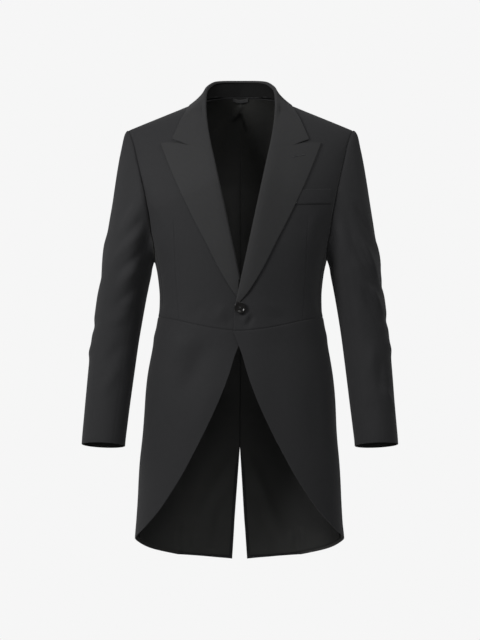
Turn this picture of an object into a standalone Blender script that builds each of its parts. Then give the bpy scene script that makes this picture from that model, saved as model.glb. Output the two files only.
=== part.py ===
"""A single-button morning coat with peak lapels, hollow, as it hangs on a wearer who isn't shown.

Every cut piece is a thin wall in a node of its own. Sizes in this file are millimetres, and the meshes
are made in metres. The coat's front faces -Y, +Z is up, and +X is the wearer's left. The origin is the
middle of the neck, level with the points where the shoulders meet the collar.

A place on the coat's body is given by its angle round the body, from 0 at the centre front through 90 at
the side to 180 at the centre back, and by its height. Both halves are worked out on the +X side and then
placed on their own side.
"""

import bmesh
import bpy
import numpy as np

MM = 0.001

# Cloth
CLOTH = 2.0
LINING = 1.0
SEAM = 0.15
CLEAR = 0.3
LINING_GAP = 0.6
LINING_INSET = 0.12
TAIL_LINING_AT_SEAM = 0.9
TAIL_LINING_AT_VENT = 1.3
TAIL_LINING_AT_SKIRT = 0.8
TAIL_LINING_ABOVE_HEM = 15.0
LINING_EDGE_GAP = np.array((0, 0, 0, 0, 0, 0, 0.2, 0.6, 0.8))

# Body
SQUARENESS = 2.3
SHOULDER_SLOPE = 0.41
COLLAR_CROSSING_X = 101.0
FRONT_REACH = 190.0
FRONT_POWER = 1.6
BACK_REACH = 200.0
BACK_POWER = 1.7
RIDGE_CLEAR = 6.0
RIDGE_TURN = 32.0
LAP_LIFT = 6.0
LAP_FLAT_TO = 18.0
LAP_GONE_AT = 90.0

BODY = {
    "columns": ("height", "half_width", "front", "back", "sway", "front_sway"),
    "rows": (
        (60, 275, 100, 104, 0.0, 0.0),
        (0, 262, 104, 113, 0.0, 0.0),
        (-55, 240, 112, 120, 0.0, 0.0),
        (-115, 222, 121, 125, 0.0, 0.0),
        (-165, 215, 127, 126, 0.0, 0.0),
        (-221, 205, 130, 124, 0.0, 0.0),
        (-280, 187, 130, 119, 0.0, 0.0),
        (-318, 174.5, 128, 113, 0.0, 0.0),
        (-345, 168.5, 126, 108, 0.0, 0.0),
        (-394, 164.0, 121, 98, 0.0, 0.0),
        (-440, 168.0, 118, 94, 0.0, 0.0),
        (-488, 175.8, 118, 100, 0.0, -4.0),
        (-551, 187.8, 120, 115, -0.5, -4.0),
        (-602, 194.0, 122, 125, -1.0, -3.8),
        (-667, 198.3, 124, 130, -1.3, -3.6),
        (-729, 202.8, 125, 131, -1.6, -3.0),
        (-797, 206.4, 126, 131, -2.0, -2.0),
        (-853, 210.0, 126, 130, -2.4, -0.5),
        (-878, 212.0, 126, 130, -2.5, 0.0),
        (-945, 214.0, 126, 130, -2.5, 0.0),
    ),
}

RIDGE = {
    "columns": ("across", "depth"),
    "rows": ((-40, 30), (0, 40), (40, 30), (78, 14), (150, 8), (228, 4), (300, 2)),
}

# Outlines on the body
NECK_POINT = (78.0, 9.4)
SHOULDER_TIP_X = 227.0
BACK_NECK = {"columns": ("across", "height"), "rows": ((0, 20), (30, 19), (58, 14.5), (78, 9.4))}
FRONT_NECK = {
    "columns": ("height", "across"),
    "rows": ((9.4, 78.5), (-10, 77.8), (-35, 73.8), (-60, 68.3), (-80, 63.8)),
}
ROLL_TOP = (60.0, -80.0)
ROLL_CROSSES_CENTRE_AT = -357.0
FOLD_ENDS_AT = -411.0
FOLD_FADES_OVER = 22.0
FRONT_INSIDE_FOLD = 1.3
FRONT_EDGE = {
    "columns": ("height", "across"),
    "rows": ((-357, 0), (-385, -6), (-412, -11), (-430, -12), (-458, -11.5)),
}
ARMHOLE_FRONT = {
    "columns": ("height", "across"),
    "rows": ((-51.7, 227), (-80, 216.5), (-115, 208), (-165, 196), (-221, 185), (-265, 178.5)),
}
ARMHOLE_BACK = {
    "columns": ("height", "across"),
    "rows": ((-51.7, 227), (-80, 215), (-115, 205), (-165, 196), (-215, 189), (-265, 181)),
}
ARMHOLE_TURNS_AT = -265.0
ARMHOLE_BOTTOM = -318.0
FRONT_SIDE_TOP = -290.0
BACK_SIDE_TOP = -215.0
WAIST = {
    "columns": ("angle", "height"),
    "rows": (
        (-4, -458.5),
        (0, -458),
        (15.5, -452.5),
        (26, -447),
        (41, -439.5),
        (52, -435.5),
        (70, -432),
        (180, -430),
    ),
}
SIDE_BACK_SEAM = {
    "columns": ("height", "angle"),
    "rows": ((-215, 116.6), (-270, 129), (-340, 142), (-431, 152), (-560, 150), (-740, 148), (-928, 146)),
}
FRONT_SIDE_WAIST_ANGLE = 74.0
HEM = {
    "columns": ("side", "across", "height"),
    "rows": (
        ("front", -11.5, -463),
        ("front", -5, -478.5),
        ("front", 0, -489),
        ("front", 15.8, -536),
        ("front", 37.8, -595),
        ("front", 74.9, -674),
        ("front", 118.2, -754),
        ("front", 169.4, -828),
        ("front", 201, -863),
        ("back", 207, -892),
        ("back", 186, -909),
        ("back", 157, -919.5),
        ("back", 101.6, -930),
        ("back", 18, -936.5),
    ),
}
VENT_TOP = -703.0
VENT_HALF_WIDTH = 18.2
HEM_AT_VENT = -936.5

# Lapels
ROLL_RADIUS = 2.6
LAPEL_RADIUS = 3.3
HOOK = 4.0
COLLAR_HOOK = 0.8
LAPEL_PUFF = 2.6
PUFF_RISES_OVER = 8.0
PUFF_FADES_OVER = 30.0
LAPEL_END_FLATTENS = 0.7
LAPEL_RISE = 1.3
LAPEL_RISE_OVER = 5.0
LAPEL_TOP = {
    "columns": ("across", "height"),
    "rows": ((56, -99), (104, -87.6), (133, -80.5), (160.5, -83)),
}
GORGE = {"columns": ("across", "height"), "rows": ((56, -98.4), (104, -87.0), (133, -78.5), (140, -76.5))}
LAPEL_EDGE = {
    "columns": ("height", "across"),
    "rows": (
        (-83, 160.5),
        (-137, 139),
        (-186, 117.5),
        (-232, 95.5),
        (-284, 68.5),
        (-338, 41),
        (-386, 11),
        (-402, 2),
    ),
}
LAPEL_ENDS = {"left": (-397.0, -400.0), "right": (-350.0, -386.0)}

# Collar
COLLAR = {
    "columns": ("fold_x", "fold_y", "fold_z", "seam_x", "seam_z", "edge_x", "edge_z", "face", "lean", "body"),
    "rows": (
        (0, 66, 55, 0, 20, 0, 5, "back", 0.0, 26),
        (27, 61, 54, 30, 19, 42, 3.5, "back", 0.05, 26),
        (49, 47, 50.5, 54, 15.3, 76, 1.5, "back", 0.2, 24),
        (62, 30, 43.5, 70, 11.8, 94, 0.5, "back", 0.4, 12),
        (68, 12, 34, 78, 9.4, 101, -1, "front", 0.6, 8),
        (69.5, -8, 18, 78.5, -3, 109, -15, "front", 0.9, 8),
        (69.5, -26, 0, 75.5, -24, 117.5, -32, "front", 1.4, 10),
        (68, -46, -24, 71, -46, 125, -51, "front", 2.2, 10),
        (64.5, -65.5, -54, 66, -66, 131, -66, "front", 3.4, 10),
        (60, -83.6, -80, 62, -80, 134, -73, "front", 3.9, 10),
        (56, -94.8, -97.6, 58, -97.6, 135, -76, "front", 4.1, 10),
    ),
}
EDGE_OFF = 1.8
EDGE_HUMP = 1.4
EDGE_HUMP_REACH = 1.3
EDGE_LEAVES_BACK = 2.6
EDGE_TURN = 2.6
RIDGE_ROW = 3.8
LIES_ON_CHEST = (4.6, 6.6)
ROLL_ON_CHEST = (6.7, 8.1)
STAND_BELOW_FOLD = 4.4
STAND_ABOVE_SEAM = 2.2
STAND = 1.4
COLLAR_COLUMNS = 16
COLLAR_TURNS = (0, 45, 90, 135, 180)
STAND_COLUMNS = 11

# Breast welt
WELT_OUTER_X = 180.0
WELT_BOTTOM_OUTER_Z = -204.0
WELT_SLOPE = 0.1
WELT_HEIGHT = 26.0
WELT_RISE = 2.4
WELT_THICK = 1.5
WELT_LENGTH = 70.0
WELT_OFF_LAPEL = 1.6
WELT_COLUMNS = 6
WELT_ROWS = 2

# Button
BUTTON_AT = (-1.0, -413.0)
BUTTON_RADIUS = 11.25
BUTTON_THICKNESS = 4.2
BUTTON_RIM = 1.6
SHANK_RADIUS = 2.6
SHANK_LENGTH = 2.4

# Hanger loop
LOOP_HALF_LENGTH = 17.0
LOOP_WIDTH = 6.5
LOOP_MIDDLE_Z = 14.5
LOOP_BOW = 3.4
LOOP_SAG = 1.2
LOOP_CLEAR = 0.5
LOOP_COLUMNS = 8

# Sleeves
SLEEVE = {
    "columns": ("height", "x", "y", "half_width", "half_depth", "rise_out", "drop_back"),
    "rows": (
        (-330, 230.0, 0, 51.0, 68, 0.10, 0.0),
        (-400, 241.5, 1, 49.5, 61, 0.10, 0.03),
        (-470, 251.3, -4, 48.0, 55, 0.09, 0.07),
        (-540, 259.3, -15, 46.6, 51, 0.08, 0.11),
        (-610, 266.5, -28, 45.0, 48, 0.06, 0.15),
        (-688, 274.0, -42, 43.6, 46, 0.037, 0.18),
    ),
}
NO_FOLD_AT = 0.0
CAP_START = 0.24
CAP_END = 1.35
CAP_SPREAD = 0.35
CAP_LIFT = 0.05
SLEEVE_AXIS = (0.155, 0.0, -0.988)

# Folds in the solids: where, how wide, how deep
SLEEVE_FOLDS = {
    "columns": ("height", "round", "slant", "half_width", "half_span", "depth"),
    "rows": (
        (-372, 95, 0.55, 15, 55, 2.6),
        (-418, 80, 0.50, 13, 50, -2.2),
        (-462, 110, -0.45, 14, 60, 2.4),
        (-505, 60, 0.40, 14, 50, -1.8),
        (-420, 262, -0.50, 14, 60, 2.2),
        (-480, 290, -0.40, 14, 55, -2.0),
    ),
}

# Grid
SIDES = (("left", 1), ("right", -1))
WAIST_COLUMNS = (-2.63, 0.6, 4.2, 9.3, 16.0, 24.5, 34.5, 46.0, 60.0, 74.0, 90.0, 106.0, 122.0, 137.0, 152.0)
FRONT_COLUMNS = 10
BACK_TOP_COLUMNS = (SEAM, 20.0, 40.0, 60.0, 78.0, 115.0, 155.0, 195.0, 227.0)
CHEST_STEPS = np.array((0.0, 0.05, 0.13, 0.22, 0.31, 0.41, 0.51, 0.61, 0.71, 0.81, 0.9, 1.0))
BLADE_STEPS = np.array((0.0, 0.09, 0.27, 0.5, 0.75, 1.0))
BLADE_ROWS = len(BLADE_STEPS) - 1
LAPEL_ROWS = 12
LAPEL_COLUMNS = 8
NOTCH_ROWS = 3
SIDE_ROWS = 7
SKIRT_ROWS = 10
CAP_ROWS = 6
SLEEVE_FRONT_SEAM = 9
SLEEVE_BACK_SEAM = 5
ARM_ROWS = 8


def smooth(keys, values, at):
    """Reads a curve through the given points that doesn't overshoot them."""
    keys, values = np.asarray(keys, float), np.asarray(values, float)
    if keys[0] > keys[-1]:
        keys, values = keys[::-1], values[::-1]
    step = np.diff(keys)
    rise = np.diff(values) / step
    slope = np.concatenate(([rise[0]], np.zeros(len(rise) - 1), [rise[-1]]))
    same = rise[:-1] * rise[1:] > 0
    total = step[:-1] + step[1:]
    weight_before = (step[:-1] + total) / (3 * total)
    safe = np.where(same, rise[:-1], 1), np.where(same, rise[1:], 1)
    mean = 1 / ((1 - weight_before) / safe[0] + weight_before / safe[1])
    slope[1:-1] = np.where(same, mean, 0)
    at = np.asarray(at, float)
    inside = np.clip(at, keys[0], keys[-1])
    place = np.clip(np.searchsorted(keys, inside, side="right") - 1, 0, len(rise) - 1)
    t = (inside - keys[place]) / step[place]
    start, end = values[place], values[place + 1]
    run = step[place]
    curve = (
        start * (1 + 2 * t) * (1 - t) ** 2
        + end * t * t * (3 - 2 * t)
        + run * t * (1 - t) * (slope[place] * (1 - t) - slope[place + 1] * t)
    )
    return curve


def column(table, name):
    """Gives one named column of a table."""
    place = table["columns"].index(name)
    return [row[place] for row in table["rows"]]


def read(table, name, at):
    """Reads a named column of a table between the rows of its first column."""
    return smooth(column(table, table["columns"][0]), column(table, name), at)


def ease(t):
    """Goes softly from 0 to 1."""
    t = np.clip(t, 0, 1)
    return t * t * (3 - 2 * t)


def between(at, span):
    """Goes softly from 0 at a span's start to 1 at its end."""
    return ease((at - span[0]) / (span[1] - span[0]))


def unit(vectors):
    """Scales vectors to length 1."""
    vectors = np.asarray(vectors, float)
    return vectors / np.maximum(np.linalg.norm(vectors, axis=-1, keepdims=True), 1e-9)


def shoulder_height(across):
    """Gives the height of the shoulder line over a distance from the centre."""
    return -SHOULDER_SLOPE * (np.abs(across) - COLLAR_CROSSING_X)


def swell(drop, reach, power):
    """Tells how much of its full depth the body has at a drop below the shoulder line."""
    t = np.clip(drop / reach, 0, 1)
    return (1 - (1 - t) ** power) ** (1 / power)


def angle_at(across, height, face="front"):
    """Turns a distance from the centre into an angle round the body."""
    share = np.clip(np.abs(across) / read(BODY, "half_width", height), 0, 1)
    angle = np.degrees(np.arcsin(share ** (SQUARENESS / 2))) * np.sign(across)
    return angle if face == "front" else 180 - angle


def body_point(angle, height, lift=0.0):
    """Gives the outside of the cloth at an angle and a height, on the +X side."""
    angle, height = np.broadcast_arrays(np.asarray(angle, float), np.asarray(height, float))
    turn = np.radians(angle)
    power = 2 / SQUARENESS
    x = np.sign(np.sin(turn)) * read(BODY, "half_width", height) * np.abs(np.sin(turn)) ** power
    flat = np.abs(np.cos(turn)) ** power
    drop = shoulder_height(x) - height
    ridge = read(RIDGE, "depth", np.abs(x))
    in_front = np.cos(turn) >= 0
    full = np.where(in_front, -read(BODY, "front", height), read(BODY, "back", height)) * flat
    share = np.where(in_front, swell(drop, FRONT_REACH, FRONT_POWER), swell(drop, BACK_REACH, BACK_POWER))
    y = ridge + (full - ridge) * share
    raised = lift * (1 - ease((x - LAP_FLAT_TO) / (LAP_GONE_AT - LAP_FLAT_TO)))
    y = np.where(in_front, y - raised, y)
    return np.stack([x, y, height], axis=-1)


def body_normal(angle, height, lift=0.0):
    """Gives the direction out of the cloth, on the +X side. It turns up toward the shoulder's ridge."""
    angle, height = np.broadcast_arrays(np.asarray(angle, float), np.asarray(height, float))
    across = body_point(angle, height)[..., 0]
    drop = shoulder_height(across) - height
    below = np.minimum(height, shoulder_height(across) - RIDGE_CLEAR)
    turned = body_point(angle + 0.4, below, lift) - body_point(angle - 0.4, below, lift)
    raised = body_point(angle, below + 1.5, lift) - body_point(angle, below - 1.5, lift)
    facing = unit(np.cross(turned, raised))
    slope = SHOULDER_SLOPE * np.clip(across / NECK_POINT[0], -1, 1)
    up = unit(np.stack([slope, np.zeros_like(slope), np.ones_like(slope)], axis=-1))
    share = (1 - ease(drop / RIDGE_TURN))[..., None]
    return unit(facing * (1 - share) + up * share)


def on_body(angle, height, out=0.0, lift=0.0):
    """Gives a point at a distance out of the cloth's outer side."""
    out = np.broadcast_to(np.asarray(out, float), np.shape(angle))[..., None]
    return body_point(angle, height, lift) + body_normal(angle, height, lift) * out


def place(grid, side):
    """Puts a grid made on the +X side on its own side, with the coat's slight sway."""
    placed = np.array(grid, float)
    height = placed[..., 2]
    toward_front = np.clip(-placed[..., 1] / 100, 0, 1)
    sway = read(BODY, "sway", height) + read(BODY, "front_sway", height) * toward_front
    placed[..., 0] = side * placed[..., 0] + sway
    return placed


def grid_normals(grid):
    """Gives the unit normals of a grid of points."""
    along = np.gradient(grid, axis=1)
    down = np.gradient(grid, axis=0)
    return unit(np.cross(along, down))


def material(name, colour, roughness, metallic=0.0):
    """Makes one Principled material."""
    made = bpy.data.materials.new(name)
    made.use_nodes = True
    shader = made.node_tree.nodes["Principled BSDF"]
    shader.inputs["Base Color"].default_value = (*colour, 1.0)
    shader.inputs["Roughness"].default_value = roughness
    shader.inputs["Metallic"].default_value = metallic
    return made


def loft(name, outer, inner, finish, coat):
    """Joins two grids of points into one closed wall."""
    rows, columns = outer.shape[:2]
    points = np.concatenate([outer.reshape(-1, 3), inner.reshape(-1, 3)]) * MM
    number = np.arange(rows * columns).reshape(rows, columns)
    under = number + rows * columns
    faces = []
    offset = rows * columns
    for row in range(rows - 1):
        for col in range(columns - 1):
            near, far = number[row, col], number[row, col + 1]
            low_near, low_far = number[row + 1, col], number[row + 1, col + 1]
            outward = abs(outer[row, col + 1, 0]) >= abs(outer[row, col, 0])
            if outward:
                halves = ((near, far, low_far), (near, low_far, low_near))
            else:
                halves = ((near, far, low_near), (far, low_far, low_near))
            faces += halves
            faces += [tuple(corner + offset for corner in reversed(half)) for half in halves]
    rim = [*zip(number[0], under[0])]
    rim += [*zip(number[1:, -1], under[1:, -1])]
    rim += [*zip(number[-1, -2::-1], under[-1, -2::-1])]
    rim += [*zip(number[-2:0:-1, 0], under[-2:0:-1, 0])]
    for (top, low), (next_top, next_low) in zip(rim, rim[1:] + rim[:1]):
        faces.append((next_top, top, low, next_low))
    mesh = bpy.data.meshes.new(name)
    mesh.from_pydata([tuple(p) for p in points], [], [tuple(int(v) for v in face) for face in faces])
    work = bmesh.new()
    work.from_mesh(mesh)
    if work.calc_volume(signed=True) < 0:
        bmesh.ops.reverse_faces(work, faces=work.faces)
    work.to_mesh(mesh)
    work.free()
    mesh.materials.append(finish)
    made = bpy.data.objects.new(name, mesh)
    coat.objects.link(made)
    mesh.shade_smooth()
    mesh.set_sharp_from_angle(angle=np.radians(40))
    return made


def cloth_wall(name, angle, height, side, finish, coat, lift=0.0, out=0.0, thick=CLOTH):
    """Makes a wall on the body from a grid of angles and heights."""
    outer = on_body(angle, height, np.full(angle.shape, out), lift)
    inner = on_body(angle, height, np.full(angle.shape, out - thick), lift)
    return loft(name, place(outer, side), place(inner, side), finish, coat)


def armhole_angle(height, face):
    """Gives the angle of the armhole seam at a height, in front or behind."""
    table = ARMHOLE_FRONT if face == "front" else ARMHOLE_BACK
    height = np.asarray(height, float)
    straight = angle_at(read(table, "across", height), height, face)
    turn = angle_at(table["rows"][-1][1], ARMHOLE_TURNS_AT, face)
    depth = np.clip((ARMHOLE_TURNS_AT - height) / (ARMHOLE_TURNS_AT - ARMHOLE_BOTTOM), 0, 1)
    curved = turn + (90 - turn) * (1 - np.sqrt(1 - depth**2))
    return np.where(height >= ARMHOLE_TURNS_AT, straight, curved)


def seam_turn(angle, height):
    """Gives the angle that half a seam's gap covers."""
    step = np.linalg.norm(body_point(angle + 0.5, height) - body_point(angle - 0.5, height), axis=-1)
    return SEAM / step


def front_edge(height):
    """Gives how far from the centre the front's own edge lies: the neck, the fold and the lap."""
    height = np.asarray(height, float)
    neck = read(FRONT_NECK, "across", height)
    inside = (LAPEL_RADIUS + FRONT_INSIDE_FOLD) * (1 - ease((FOLD_ENDS_AT - height) / FOLD_FADES_OVER))
    fold = roll_line(height) + inside
    return np.where(height > ROLL_TOP[1], neck, fold)


def roll_line(height):
    """Gives the lapel's fold, and the coat's front edge under it."""
    height = np.asarray(height, float)
    run = (height - ROLL_CROSSES_CENTRE_AT) / (ROLL_TOP[1] - ROLL_CROSSES_CENTRE_AT)
    return np.where(height > ROLL_CROSSES_CENTRE_AT, ROLL_TOP[0] * run, read(FRONT_EDGE, "across", height))


def waist_height(angle):
    """Gives the height of the waist seam."""
    return read(WAIST, "height", angle)


def hem_height(angle):
    """Gives the height of the cutaway and the hem, by the angle round the body."""
    angles = [float(angle_at(across, height, face)) for face, across, height in HEM["rows"]]
    return smooth(angles, column(HEM, "height"), angle)


def armhole_samples():
    """Gives the heights at which the panels and the sleeve share points round the armhole."""
    tip = float(shoulder_height(SHOULDER_TIP_X))
    front = tip + (FRONT_SIDE_TOP - tip) * CHEST_STEPS
    back = tip + (BACK_SIDE_TOP - tip) * BLADE_STEPS
    under = [("front", -309.0), ("back", ARMHOLE_BOTTOM), ("back", -308.0), ("back", -265.0)]
    return front, under, back


def armhole_ring():
    """Gives the armhole's points, from the shoulder down the front, under the arm and up the back."""
    front, under, back = armhole_samples()
    heights = [*front, *(height for face, height in under), *back[:0:-1]]
    faces = ["front"] * len(front) + [face for face, height in under] + ["back"] * (len(back) - 1)
    angles = [float(armhole_angle(height, face)) for face, height in zip(faces, heights)]
    return np.array(angles), np.array(heights)


def front_panel():
    """Gives the front's grid of angles and heights, from the shoulder to the waist seam."""
    chest, _, _ = armhole_samples()
    left_heights = NECK_POINT[1] + (FRONT_SIDE_TOP - NECK_POINT[1]) * CHEST_STEPS
    waist_angles = np.array(WAIST_COLUMNS[:FRONT_COLUMNS])
    waist = body_point(waist_angles, waist_height(waist_angles))[:, 0]
    share = (waist - waist[0]) / (waist[-1] - waist[0])
    angles, heights = [], []
    for left, right in zip(left_heights, chest):
        start, end = front_edge(left), body_point(armhole_angle(right, "front"), right)[0]
        across = start + (end - start) * share
        height = left + (right - left) * share
        angles.append(angle_at(across, height))
        heights.append(height)
    for step in np.linspace(0, 1, SIDE_ROWS + 1)[1:]:
        left = FRONT_SIDE_TOP + (waist_height(waist_angles[0]) - FRONT_SIDE_TOP) * step
        right_angle, right = side_front_seam(step)
        start, end = front_edge(left), body_point(right_angle, right)[0]
        across = start + (end - start) * share
        height = left + (right - left) * share
        waist_line = waist_height(angle_at(across, height))
        straight = waist_line[0] + (waist_line[-1] - waist_line[0]) * share
        height = height + (waist_line - straight) * step
        angles.append(angle_at(across, height))
        heights.append(height)
    return np.array(angles), np.array(heights)


def side_front_seam(step):
    """Gives the seam between the front and the side body, from the armhole at 0 to the waist at 1."""
    top = float(armhole_angle(FRONT_SIDE_TOP, "front"))
    low = float(waist_height(FRONT_SIDE_WAIST_ANGLE))
    angle = top + (FRONT_SIDE_WAIST_ANGLE - top) * step
    return angle, FRONT_SIDE_TOP + (low - FRONT_SIDE_TOP) * step


def side_back_seam(step):
    """Gives the seam between the side body and the back, from the armhole at 0 to the waist at 1."""
    low = float(waist_height(SIDE_BACK_SEAM["rows"][3][1]))
    height = BACK_SIDE_TOP + (low - BACK_SIDE_TOP) * step
    off = float(armhole_angle(BACK_SIDE_TOP, "back")) - SIDE_BACK_SEAM["rows"][0][1]
    return read(SIDE_BACK_SEAM, "angle", height) + off * (1 - step), height


def pull_back(angle, height, left=False, right=False, top=0.0, bottom=0.0):
    """Draws a grid's edges back by half a seam."""
    angle, height = angle.copy(), height.copy()
    if left:
        angle[:, 0] += seam_turn(angle[:, 0], height[:, 0])
    if right:
        angle[:, -1] -= seam_turn(angle[:, -1], height[:, -1])
    height[0] -= top
    height[-1] += bottom
    return angle, height


def make_front(side_name, side, finish, coat):
    """Makes one front, from the shoulder to the waist seam and from the fold to the side."""
    angle, height = pull_back(*front_panel(), right=True, top=SEAM, bottom=SEAM)
    lift = LAP_LIFT if side_name == "left" else 0.0
    cloth_wall(f"front_{side_name}", angle, height, side, finish, coat, lift)


def make_side_body(side_name, side, finish, coat):
    """Makes the panel under the arm."""
    front, under, _ = armhole_samples()
    top = [("front", FRONT_SIDE_TOP), *under, ("back", BACK_SIDE_TOP)]
    top_angles = np.array([float(armhole_angle(height, face)) for face, height in top])
    top_heights = np.array([height for face, height in top])
    low_angles = np.array(WAIST_COLUMNS[FRONT_COLUMNS - 1 :])
    angles, heights = [], []
    for step in np.linspace(0, 1, SIDE_ROWS + 1):
        front_angle, front_height = side_front_seam(step)
        back_angle, back_height = side_back_seam(step)
        angle = top_angles + (low_angles - top_angles) * step
        height = top_heights + (waist_height(low_angles) - top_heights) * step
        share = np.linspace(0, 1, len(angle))
        angle += (front_angle - angle[0]) * (1 - share) + (back_angle - angle[-1]) * share
        height += (front_height - height[0]) * (1 - share) + (back_height - height[-1]) * share
        angles.append(angle)
        heights.append(height)
    angle, height = pull_back(np.array(angles), np.array(heights), True, True, 0.0, SEAM)
    cloth_wall(f"side_body_{side_name}", angle, height, side, finish, coat)


def back_edge(height):
    """Gives how far the back's centre edge stands off the centre: the seam, then the vent."""
    fall = np.clip((VENT_TOP - height) / (VENT_TOP - HEM_AT_VENT), 0, 1)
    return SEAM + (VENT_HALF_WIDTH - SEAM) * fall


def back_top(across):
    """Gives the back's top edge: the neck seam, then the shoulder seam."""
    return np.where(across < NECK_POINT[0], read(BACK_NECK, "height", across), shoulder_height(across))


def back_rows():
    """Gives each row of the back: the height at the centre, the angle and height at its outer edge."""
    _, _, blade = armhole_samples()
    rows = []
    nape = BACK_NECK["rows"][0][1]
    for left, right in zip(nape + (BACK_SIDE_TOP - nape) * BLADE_STEPS, blade):
        rows.append((float(left), float(armhole_angle(right, "back")), float(right)))
    for step in np.linspace(0, 1, SIDE_ROWS + 1)[1:]:
        angle, height = side_back_seam(step)
        rows.append((height, float(angle), height))
    waist = rows[-1][2]
    for step in np.linspace(0, 1, SKIRT_ROWS + 1)[1:]:
        angle, height = tail_seam(step)
        rows.append((waist + (HEM_AT_VENT - waist) * step, angle, height))
    return rows


def tail_seam(step):
    """Gives the seam between the skirt and the tail, from the waist at 0 to the hem at 1."""
    waist = float(waist_height(SIDE_BACK_SEAM["rows"][3][1]))
    low_angle = SIDE_BACK_SEAM["rows"][-1][1]
    height = waist + (float(hem_height(low_angle)) - waist) * step
    return float(read(SIDE_BACK_SEAM, "angle", height)), height


def back_panel():
    """Gives the back's grid of angles and heights, from the neck to the hem."""
    top_across = np.array(BACK_TOP_COLUMNS)
    share = (top_across - top_across[0]) / (top_across[-1] - top_across[0])
    top = back_top(top_across)
    bend = top - (top[0] + (top[-1] - top[0]) * share)
    angles, heights = [], []
    for number, (left, right_angle, right) in enumerate(back_rows()):
        start, end = back_edge(left), body_point(right_angle, right)[0]
        fade = max(0.0, 1 - number / BLADE_ROWS)
        height = left + (right - left) * share + bend * fade
        across = start + (end - start) * share
        angles.append(angle_at(across, height, "back"))
        heights.append(height)
    angle, height = np.array(angles), np.array(heights)
    angle[:, -1] = [row[1] for row in back_rows()]
    return angle, height


def make_back(side_name, side, finish, coat):
    """Makes one back, from the neck and shoulder down through the tail."""
    angle, height = back_panel()
    angle[:, -1] += seam_turn(angle[:, -1], height[:, -1])
    height[0] -= SEAM
    cloth_wall(f"back_{side_name}", angle, height, side, finish, coat)


def skirt_grid():
    """Gives the skirt's grid, from the waist seam down to the cutaway edge and the hem."""
    top = np.array(WAIST_COLUMNS)
    share = (top / top[-1]) ** 2
    angles, heights = [], []
    for step in np.linspace(0, 1, SKIRT_ROWS + 1):
        seam_angle, seam_height = tail_seam(step)
        angle = top + share * (seam_angle - top[-1])
        start = waist_height(angle)
        height = start + (hem_height(angle) - start) * step
        height[-1] = seam_height
        angles.append(angle)
        heights.append(height)
    return np.array(angles), np.array(heights)


def make_skirt(side_name, side, finish, coat):
    """Makes one skirt, with the cutaway front."""
    angle, height = pull_back(*skirt_grid(), right=True, top=SEAM)
    lift = LAP_LIFT if side_name == "left" else 0.0
    cloth_wall(f"skirt_{side_name}", angle, height, side, finish, coat, lift)


def section_wall(name, middle, side, finish, coat, thick=CLOTH):
    """Makes a wall of even thickness on both sides of a middle surface."""
    normal = grid_normals(middle)
    outer = middle + normal * thick / 2
    inner = middle - normal * thick / 2
    return loft(name, place(outer, side), place(inner, side), finish, coat)


def lying_height(beyond, flat=1.0):
    """Gives how much higher than its fold a lapel or collar lies, at distances past the fold."""
    puff = LAPEL_PUFF * (1 - np.exp(-beyond / PUFF_RISES_OVER)) * np.exp(-beyond / PUFF_FADES_OVER)
    return puff * flat + LAPEL_RISE * ease(beyond / LAPEL_RISE_OVER)


def make_lapel(side_name, side, finish, coat):
    """Makes one lapel: it comes round the front's edge from the inside and lies on the chest."""
    lift = LAP_LIFT if side_name == "left" else 0.0
    end_fold, end_edge = LAPEL_ENDS[side_name]
    top_x, top_z = column(LAPEL_TOP, "across"), column(LAPEL_TOP, "height")
    radius = LAPEL_RADIUS
    turns = np.radians([-90, -150, 180, 150, 90])
    middle = []
    for step in np.linspace(0, 1, LAPEL_ROWS + 1):
        fold_z = top_z[0] + (end_fold - top_z[0]) * step
        edge_z = top_z[-1] + (end_edge - top_z[-1]) * step
        fold_x = float(roll_line(fold_z))
        edge_x = float(read(LAPEL_EDGE, "across", edge_z))
        centre = fold_x + radius + CLOTH / 2
        hook = [(centre + HOOK, -CLOTH / 2 - radius)]
        hook += [(centre + radius * np.cos(t), -CLOTH / 2 + radius * np.sin(t)) for t in turns]
        points = [(across, fold_z, out) for across, out in hook]
        run = np.linspace(0, 1, LAPEL_COLUMNS + 1)[1:]
        across = centre + (edge_x - centre) * run
        height = fold_z + (edge_z - fold_z) * run
        straight_top = top_z[0] + (top_z[-1] - top_z[0]) * run
        notch = np.interp(top_x[0] + (top_x[-1] - top_x[0]) * run, top_x, top_z) - straight_top
        height = height + notch * max(0.0, 1 - step * LAPEL_ROWS / NOTCH_ROWS)
        flat = 1 - LAPEL_END_FLATTENS * between(step, (0.8, 1.0))
        out = radius - CLOTH / 2 + lying_height(np.maximum(across - centre, 0), flat)
        points += list(zip(across, height, out))
        points = np.array(points)
        angle = angle_at(points[:, 0], points[:, 1])
        middle.append(on_body(angle, points[:, 1], points[:, 2], lift))
    section_wall(f"lapel_{side_name}", np.array(middle), side, finish, coat)


def collar_rows(at):
    """Reads the collar's table at places between its rows, as a dictionary of curves."""
    order = np.arange(len(COLLAR["rows"]))
    names = [name for name in COLLAR["columns"] if name != "face"]
    return {name: smooth(order, column(COLLAR, name), at) for name in names}


def collar_frame(at):
    """Gives the fold, the way over it and the way out of it, along one side of the collar."""
    rows = collar_rows(at)
    fold = np.stack([rows["fold_x"], rows["fold_y"], rows["fold_z"]], axis=-1)
    ahead = collar_rows(np.asarray(at) + 0.05)
    behind = collar_rows(np.asarray(at) - 0.05)
    tangent = unit(np.stack([ahead[k] - behind[k] for k in ("fold_x", "fold_y", "fold_z")], axis=-1))
    start = np.asarray(at) <= 0.05
    tangent[start] = (1.0, 0.0, 0.0)
    over = np.stack([-rows["lean"], np.zeros_like(rows["lean"]), np.ones_like(rows["lean"])], axis=-1)
    over = unit(over - tangent * np.sum(over * tangent, axis=-1, keepdims=True))
    out = unit(np.cross(over, tangent))
    return rows, fold, over, out


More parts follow.
